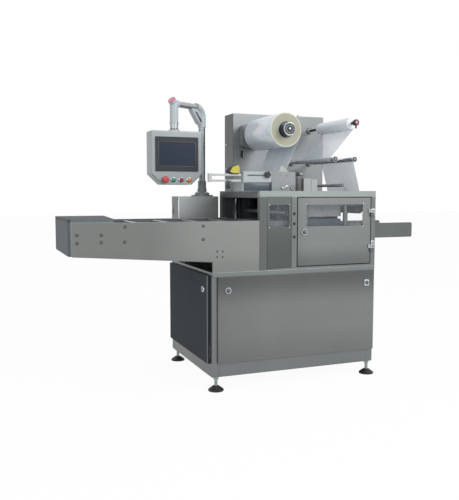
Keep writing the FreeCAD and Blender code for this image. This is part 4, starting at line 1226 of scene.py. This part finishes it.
@dataclass
class Pendant:
    """Operator box with display and push buttons."""

    button_colours: tuple[Colour, ...] = (
        (0.55, 0.045, 0.05), (0.03, 0.25, 0.16), (0.28, 0.03, 0.035), (0.62, 0.27, 0.05))
    button_radius: float = 0.0125
    mushroom_radius: float = 0.020
    end_margin: float = 0.014
    ring_width: float = 0.0035
    line_gap: float = 0.006
    line_width: float = 0.0018
    line_proud: float = 0.0004

    def build(self) -> None:
        """Dresses the nodes and makes the buttons."""
        dress_node("pendant_coupling", ALUMINIUM)
        dress_node("pendant_housing", PENDANT_STEEL, 0.006)
        dress_node("hmi_bezel", BEZEL_BLACK, 0.001)
        dress_node("hmi_screen", DarkGlass())
        self.buttons()
        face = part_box("hmi_bezel")[0].y
        bars = border(*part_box("hmi_screen"), self.line_gap, self.line_width,
                      (face - self.line_proud, face + self.line_proud), self.line_width)
        make_piece("display_line", [(bar, BEZEL_LINE) for bar in bars], "pendant")

    def buttons(self) -> None:
        """Four buttons in their metal rings: one mushroom and three flush lenses."""
        low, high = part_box("push_buttons")
        radius, top = self.button_radius, self.mushroom_radius
        outer = radius + self.ring_width
        collar = lathe([(0, 0), (outer, 0), (outer, 0.003), (radius, 0.0055), (0, 0.0055)])
        mushroom = lathe([(0, 0.005), (0.011, 0.005), (0.011, 0.012), (top, 0.014),
                          (top, 0.018), (top * 0.8, 0.0225), (0, 0.0238)])
        flush = lathe([(0, 0.004), (radius * 0.95, 0.004), (radius * 0.95, 0.007),
                       (radius * 0.8, 0.0092), (0, 0.0098)])
        spacing = (high.x - low.x - top - self.end_margin) / 3
        rings: Made = []
        for index, colour in enumerate(self.button_colours):
            place = (low.x + top + index * spacing, high.y, (low.z + high.z) / 2)
            rings += facing([(collar, CHROME)], TO_FRONT, place)
            cap = flush if index else mushroom
            make_piece(f"push_button_{index + 1}", facing([(cap, Lens(colour))], TO_FRONT, place),
                       "pendant", ["push_buttons"])
        make_piece("push_button_rings", rings, "pendant", ["push_buttons"])


@dataclass
class FilmUnit:
    """Film housing, reels, rollers and webs.

    In seat, shaft_end and core the radii are shares of the roller's or reel's own.
    """

    seat: Profile = ((0.86, 0), (0.86, 0.0005), (0, 0.0005))
    shaft_end: Profile = ((0.42, 0), (0.42, 0.0025), (0.3, 0.0032), (0, 0.0032))
    reel_round: float = 0.0016
    reel_inset: float = 0.0010
    reel_edge: float = 0.0012
    reel_rim: Pair = (0.0040, 0.0028)
    core: Profile = ((0.47, -0.0012), (0.47, 0.002), (0.40, 0.002))
    boss_disc: Pair = (0.0300, 0.0010)
    boss_rings: tuple[Pair, ...] = ((0.0345, 0.0036), (0.0215, 0.0024))
    boss_hub: Pair = (0.0125, 0.002)
    boss_tip: Profile = ((0.0062, 0), (0.0062, 0.0035), (0.003, 0.0045), (0, 0.0045))
    waste_girth: Profile = (
        (0.030, 0.0), (0.034, 0.004), (0.0365, 0.03), (0.0350, 0.13), (0.0370, 0.24),
        (0.0355, 0.34), (0.0340, 0.376), (0.030, 0.380))
    waste_film: Colour = (0.80, 0.83, 0.87)
    knob: Profile = ((0.019, 0), (0.019, 0.011), (0.016, 0.015), (0, 0.015))
    knob_tip: Profile = ((0.0062, 0), (0.0062, 0.016), (0.004, 0.0172), (0, 0.0172))
    knob_ring: Pair = (0.0125, 0.0024)
    knob_ring_height: float = 0.0145
    wing: tuple[Point, ...] = ((-0.004, -0.034, 0.002), (0.004, -0.016, 0.009))
    bolt: Pair = (0.0075, 0.005)
    bolt_heights: tuple[float, ...] = (1.402, 1.242)
    bolt_inset: float = 0.030
    top_knob: Profile = ((0.008, 0), (0.008, 0.006), (0.005, 0.010), (0, 0.010))
    top_knob_place: Pair = (0.470, 0.012)
    peg: Pair = (0.427, 1.346)
    peg_reach: float = 0.006

    def build(self) -> None:
        """Dresses the nodes and makes the reels and fittings."""
        dress_node("film_housing", HOUSING_STEEL, 0.003)
        dress_node("spindle_brackets", BRACKET_METAL)
        dress_node("film_mandrel", SLATE_METAL)
        dress_node("waste_spindle", DARK_METAL)
        for side in ("left", "right", "low"):
            dress_node(f"guide_roller_{side}", ROLLER_CHROME)
            self.journal(side)
        dress_node("film_webs", FILM)
        self.reel()
        self.waste()
        self.bolts()

    def journal(self, side: str) -> None:
        """Dark bearing seat and bright shaft end on a guide roller's near face.

        Args:
            side: which roller, as in its node's name.
        """
        node = f"guide_roller_{side}"
        low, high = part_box(node)
        gains = ((high.x - low.x) / 2, 1.0)
        made = [(lathe(self.seat, gains=gains), RUBBER),
                (lathe(self.shaft_end, gains=gains), BRACKET_METAL)]
        make_piece(f"roller_{side}_journal", facing(made, TO_FRONT, near_middle(node)),
                   f"roller_{side}")

    def reel(self) -> None:
        """Full reel: smooth side, ringed pale edge with its rim, dark core and boss."""
        low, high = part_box("film_roll")
        centre = near_middle("film_roll")
        wide = (high.x - low.x) / 2
        long = high.y - low.y
        turn = self.reel_round
        start = self.reel_inset
        side = lathe([(wide - turn, start), (wide, start + turn), (wide, long - start - turn),
                      (wide - turn, long)], 96)
        edge = lathe([(wide - turn * 1.5, 0), (wide - turn, self.reel_edge),
                      (0, self.reel_edge)], 96)
        rim = ring(wide - self.reel_rim[0], self.reel_rim[1], 96).moved((0, 0, turn))
        made = [(side, WoundFilm()), (edge, WoundEdge((centre[0], centre[2]))), (rim, CREAM),
                (lathe(self.core, gains=(wide, 1.0)), DARK_METAL)]
        make_piece("film_reel_wound", facing(made, TO_REAR, centre), "film_reel",
                   ["film_roll"])
        outer, inner = (ring(*sizes) for sizes in self.boss_rings)
        boss = [(disc(*self.boss_disc), DARK_METAL), (outer, CHROME), (inner, BRACKET_METAL),
                (disc(*self.boss_hub), BLACK), (lathe(self.boss_tip), CHROME)]
        centre[1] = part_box("film_mandrel")[0].y
        make_piece("mandrel_face", facing(boss, TO_FRONT, centre), "film_reel")

    def waste(self) -> None:
        """Uneven waste reel with its knob, red ring and clamp wing."""
        centre = near_middle("waste_roll")
        wound = [(lathe(self.waste_girth, 64), WoundFilm(self.waste_film))]
        make_piece("waste_reel_wound", facing(wound, TO_REAR, centre), "waste_reel",
                   ["waste_roll"])
        band = ring(*self.knob_ring).moved((0, 0, self.knob_ring_height))
        made = [(lathe(self.knob), BLACK), (band, RED_KNOB), (lathe(self.knob_tip), ALUMINIUM),
                (block(*self.wing), BLACK)]
        centre[1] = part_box("waste_spindle")[0].y
        make_piece("waste_knob", facing(made, TO_FRONT, centre), "waste_reel")

    def bolts(self) -> None:
        """Two bolts on the housing's left side, a knob on its top and a peg on its front."""
        low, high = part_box("film_housing")
        bolt = screw_head(*self.bolt).turned(TO_LEFT)
        forms = [(bolt.moved((low.x, high.y - self.bolt_inset, z)), CHROME)
                 for z in self.bolt_heights]
        along, behind = self.top_knob_place
        forms.append((lathe(self.top_knob).moved((low.x + along, low.y + behind, high.z)),
                      ALUMINIUM))
        x, y, z = DATUM.at(self.peg[0], 0, self.peg[1])
        reach = self.peg_reach
        for left, right, out, under, over, finish in (
                (-reach, reach, 0.016, 0.030, 0.012, DARK_METAL),
                (reach, 2 * reach, 0.014, 0.036, 0.006, ALUMINIUM)):
            forms.append((block((x + left, low.y - out, z - under), (x + right, low.y, z + over),
                                0.002), finish))
        make_piece("housing_fittings", forms, "root")


@dataclass
class TopDeck:
    """Date coder, sensor and air set on the cabinet's top."""

    bar_face: float = 0.048
    slate_plate: tuple[Point, ...] = ((0.207, 0.058, 1.101), (0.369, 0.064, 1.142))
    slot: tuple[Pair, ...] = ((0.2245, 1.1835), (0.3226, 1.1870))
    slot_proud: float = 0.0004
    end_block: tuple[Point, ...] = ((0.521, 0.058, 1.186), (0.540, 0.080, 1.210))
    clamp: tuple[Point, ...] = ((0.106, 0.056, 1.146), (0.130, 0.084, 1.160))
    dots: tuple[Point, ...] = (
        (0.269, 1.167, 0.0014), (0.425, 1.186, 0.0020), (0.465, 1.186, 0.003))
    dial: Pair = (0.501, 1.1165)
    dial_face: Pair = (0.0150, 0.003)
    dial_ring: Pair = (0.0130, 0.0016)
    dial_pin: Point = (0.0040, 0.006, 0.003)
    wing_bolt: Pair = (0.449, 1.121)
    wing_hub: Pair = (0.006, 0.010)
    wings: tuple[tuple[Point, Point], ...] = (
        ((0.004, 0.000, 0.003), (0.021, 0.010, 0.008)),
        ((-0.019, -0.010, 0.003), (-0.004, 0.001, 0.008)))
    bracket: Profile = ((0.0, 0.0), (0.060, 0.0), (0.060, 0.006), (0.026, 0.034), (0.016, 0.034))
    bracket_place: Point = (0.423, 0.072, 1.207)
    star: Profile = ((0.0045, 0.012), (0.0115, 0.014), (0.0125, 0.024), (0.0115, 0.034),
                     (0.0045, 0.036), (0.0045, 0.050))
    star_place: Point = (0.118, 0.070, 1.100)
    shell: Profile = ((-0.10, 0.22), (0.10, -0.05), (0.90, -0.06), (1.06, 0.10), (1.05, 0.72),
                      (0.82, 1.08), (0.50, 1.02), (0.06, 0.72))
    rib_step: float = 0.012
    valve_cap: Profile = ((0.7, 0), (0.7, 0.008), (0.4, 0.012), (0.4, 0.022), (0, 0.022))

    def build(self) -> None:
        """Dresses the nodes and adds the small controls."""
        dress_node("coder_body", CODER_PAINT, 0.0012)
        dress_node("coder_knob", BLACK)
        dress_node("coder_slide", ALUMINIUM, 0.001)
        dress_node("film_sensor", YELLOW)
        dress_node("air_valves", VALVE_PAINT, 0.001)
        self.controls()
        self.sensor_shell()
        self.valve_caps()

    def span(self, low: Sequence[float], high: Sequence[float], round_: float,
             finish: Any) -> tuple[Form, Any]:
        """A block between two places counted from the datum corner."""
        return block(DATUM.at(*low), DATUM.at(*high), round_), finish

    def on_bar(self, made: Made, place: Pair) -> Made:
        """Forms on the coder bar's near face at a place along it and over the floor."""
        return facing(made, TO_FRONT, DATUM.at(place[0], self.bar_face, place[1]))

    def controls(self) -> None:
        """Coder's slate plate, slot, dots, wing bolt, dial, bracket and clamp knob."""
        near, far = self.bar_face - self.slot_proud, self.bar_face + self.slot_proud
        (left, under), (right, over) = self.slot
        forms = [self.span(*self.slate_plate, 0.001, SLATE),
                 self.span((left, near, under), (right, far, over), 0.0001, SLATE),
                 self.span(*self.end_block, 0.002, BLACK)]
        for x, z, wide in self.dots:
            forms += self.on_bar([(screw_head(wide, 0.0008), SLATE)], (x, z))
        rim = ring(*self.dial_ring).moved((0, 0, self.dial_face[1]))
        forms += self.on_bar([(disc(*self.dial_face), PALE_PAINT), (rim, BLACK),
                              (disc(*self.dial_pin), DARK_METAL)], self.dial)
        wings = [block(low, high, 0.002) for low, high in self.wings]
        forms += self.on_bar([(form, ALUMINIUM) for form in (disc(*self.wing_hub), *wings)],
                             self.wing_bolt)
        forms += facing([(plate(np.array(self.bracket), 0.003), PALE_PAINT)], TO_FRONT,
                        DATUM.at(*self.bracket_place))
        forms.append((lathe(self.star).moved(DATUM.at(*self.star_place)), BLACK))
        forms.append(self.span(*self.clamp, 0.002, SLATE_METAL))
        make_piece("coder_controls", forms, "root")

    def sensor_shell(self) -> None:
        """Black shell round the sensor's yellow face, with a nose to the left."""
        low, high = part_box("film_sensor")
        wide, deep, tall = high - low
        outline = np.array(self.shell) * (wide, tall)
        forms = facing([(plate(outline, deep - 0.005, 0.002), BLACK)], TO_FRONT,
                       (low.x, high.y + 0.001, low.z))
        nose = block((low.x - 0.010, low.y + 0.010, low.z + 0.004),
                     (low.x + 0.004, high.y - 0.004, low.z + 0.026), 0.003)
        make_piece("sensor_shell", [*forms, (nose, BLACK)], "root")

    def valve_caps(self) -> None:
        """Ribs and dark caps of the air set's cylinder, and its pale fitting."""
        low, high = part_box("air_valves")
        reach = (high.y - low.y) / 2
        x, y = low.x + reach, low.y + reach
        rib = ring(reach - 0.0006, 0.0016)
        forms = [(rib.moved((x, y, low.z + step * self.rib_step)), SLATE) for step in range(1, 7)]
        cap = lathe(self.valve_cap, gains=(reach, 1.0))
        fitting = block((x + reach * 0.3, y - 0.008, high.z + 0.006),
                        (x + reach * 1.4, y + 0.008, high.z + 0.018), 0.003)
        forms += [(cap.moved((x, y, high.z)), BLACK), (fitting, BRACKET_METAL)]
        make_piece("valve_fittings", forms, "root")


@dataclass
class SealingStation:
    """Columns, head, mould, turns and posts that show through the windows and the inlet.

    A turn is its x, z, radius and finish, and a post two corners (x, z, x, z) and its finish.
    """

    turn_front: float = 0.060
    turns: tuple[tuple[float, float, float, Polished], ...] = (
        (0.470, 0.975, 0.013, ROLLER_CHROME), (0.954, 0.991, 0.025, ALUMINIUM))
    post_depth: float = 0.016
    posts: tuple[tuple[float, float, float, float, Any], ...] = (
        (0.376, 0.658, 0.389, 1.094, CHROME), (0.401, 0.658, 0.419, 1.094, INLET_PAINTED_SHADE_STEEL),
        (0.463, 0.985, 0.533, 1.062, INLET_PAINTED_SHADE_STEEL))

    def build(self) -> None:
        """Dresses the nodes and adds what stands beside the tray's path."""
        dress_node("press_frame", COLUMN_PAINTED_SHADE_METAL)
        dress_node("sealing_head", BRACKET_METAL)
        dress_node("lower_mould", MOULD_METAL)
        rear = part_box("film_housing")[0].y
        long = rear - DATUM.front - self.turn_front
        forms: Made = []
        for x, z, wide, finish in self.turns:
            forms += facing([(lathe([(wide, 0), (wide, long)]), finish)], TO_REAR,
                            DATUM.at(x, self.turn_front, z))
        make_piece("film_turns", forms, "root")
        forms = [(block((DATUM.left + x, rear - self.post_depth, z), (DATUM.left + end, rear, top),
                        0.001), finish) for x, z, end, top, finish in self.posts]
        make_piece("inlet_posts", forms, "root")


@dataclass
class Studio:
    """Camera, pale floor, white surroundings and soft lamps."""

    eye: Point = (-1.203, -3.297, 1.09)
    heading: float = 21.53
    tilt: float = -5.0
    focal_share: float = 654.9 / 500
    sensor: float = 36.0
    ambient: float = 0.62
    floor_reach: float = 30.0
    floor_colour: Colour = (0.93, 0.93, 0.93)
    floor_glow: float = 0.955
    mirrored_share: float = 0.5
    aim: Point = (0.0, 0.0, 0.8)

    def build(self) -> None:
        """Makes the camera, floor, world and lamps."""
        self.camera()
        self.floor()
        self.world()
        self.lamp("key", (2.6, -4.2, 3.6), 2.6, 150.0)
        self.lamp("fill", (-3.4, -3.6, 2.4), 3.0, 45.0)

    def camera(self) -> None:
        """Stands where the photograph was taken, with its field of view."""
        lens = bpy.data.cameras.new("Camera")
        lens.sensor_width = self.sensor
        lens.lens = self.focal_share * self.sensor
        holder = linked("Camera", lens)
        holder.location = DATUM.at(*self.eye)
        holder.rotation_euler = (math.radians(90 + self.tilt), 0, math.radians(-self.heading))
        bpy.context.scene.camera = holder

    def floor(self) -> None:
        """A wide pale floor that keeps the shadows and shows nearly white."""
        size = self.floor_reach
        corners = ((-size, -size, 0), (size, -size, 0), (size, size, 0), (-size, size, 0))
        mesh = bpy.data.meshes.new("Floor")
        mesh.from_pydata(corners, [], [(0, 1, 2, 3)])
        thing = linked("Floor", mesh)
        material = bpy.data.materials.new("Floor")
        material.use_nodes = True
        graph = Graph(material.node_tree)
        camera, glossy = graph.sight("Is Camera Ray", "Is Glossy Ray")
        cloth = graph.node("ShaderNodeBsdfDiffuse", None, {0: rgba(self.floor_colour)})
        glow = graph.node("ShaderNodeEmission", None, {0: rgba((1, 1, 1)), 1: 1.0})
        mixed = graph.node("ShaderNodeMixShader", None, {
            0: (camera + glossy * self.mirrored_share) * self.floor_glow,
            1: cloth.outputs[0], 2: glow.outputs[0]})
        graph.node("ShaderNodeOutputMaterial", None, {0: mixed.outputs[0]})
        mesh.materials.append(material)

    def world(self) -> None:
        """White where it is seen or mirrored, and a plain soft light elsewhere."""
        scene = bpy.context.scene
        scene.world = bpy.data.worlds.new("Studio")
        scene.world.use_nodes = True
        graph = Graph(scene.world.node_tree)
        camera, glossy, through = graph.sight("Is Camera Ray", "Is Glossy Ray",
                                              "Is Transmission Ray")
        seen = (camera + glossy + through).ramp(0.0, 1.0)
        strength = seen * (1 - self.ambient) + self.ambient
        sky = graph.node("ShaderNodeBackground", None, {0: rgba((1, 1, 1)), 1: strength})
        graph.node("ShaderNodeOutputWorld", None, {0: sky.outputs[0]})
        scene.view_settings.view_transform = "Standard"

    def lamp(self, name: str, place: Point, size: float, power: float) -> None:
        """A soft square lamp that looks at the cabinet's middle.

        Args:
            name: the lamp's name.
            place: where it stands, from the part's origin.
            size: side of the square.
            power: watts.
        """
        light = bpy.data.lights.new(name, "AREA")
        light.size = size
        light.energy = power
        holder = linked(name, light)
        holder.location = place
        ray = Vector(self.aim) - holder.location
        holder.rotation_euler = ray.to_track_quat("-Z", "Y").to_euler()


def main() -> None:
    """Builds the studio and dresses each sub-assembly in order."""
    logging.basicConfig(level=logging.INFO, format="%(message)s")
    Studio().build()
    for assembly in (Cabinet(), Infeed(), Outfeed(), PendantArm(), Pendant(), FilmUnit(),
                     TopDeck(), SealingStation()):
        assembly.build()
        LOG.info("%s is complete", type(assembly).__name__)


if __name__ == "__main__":
    main()
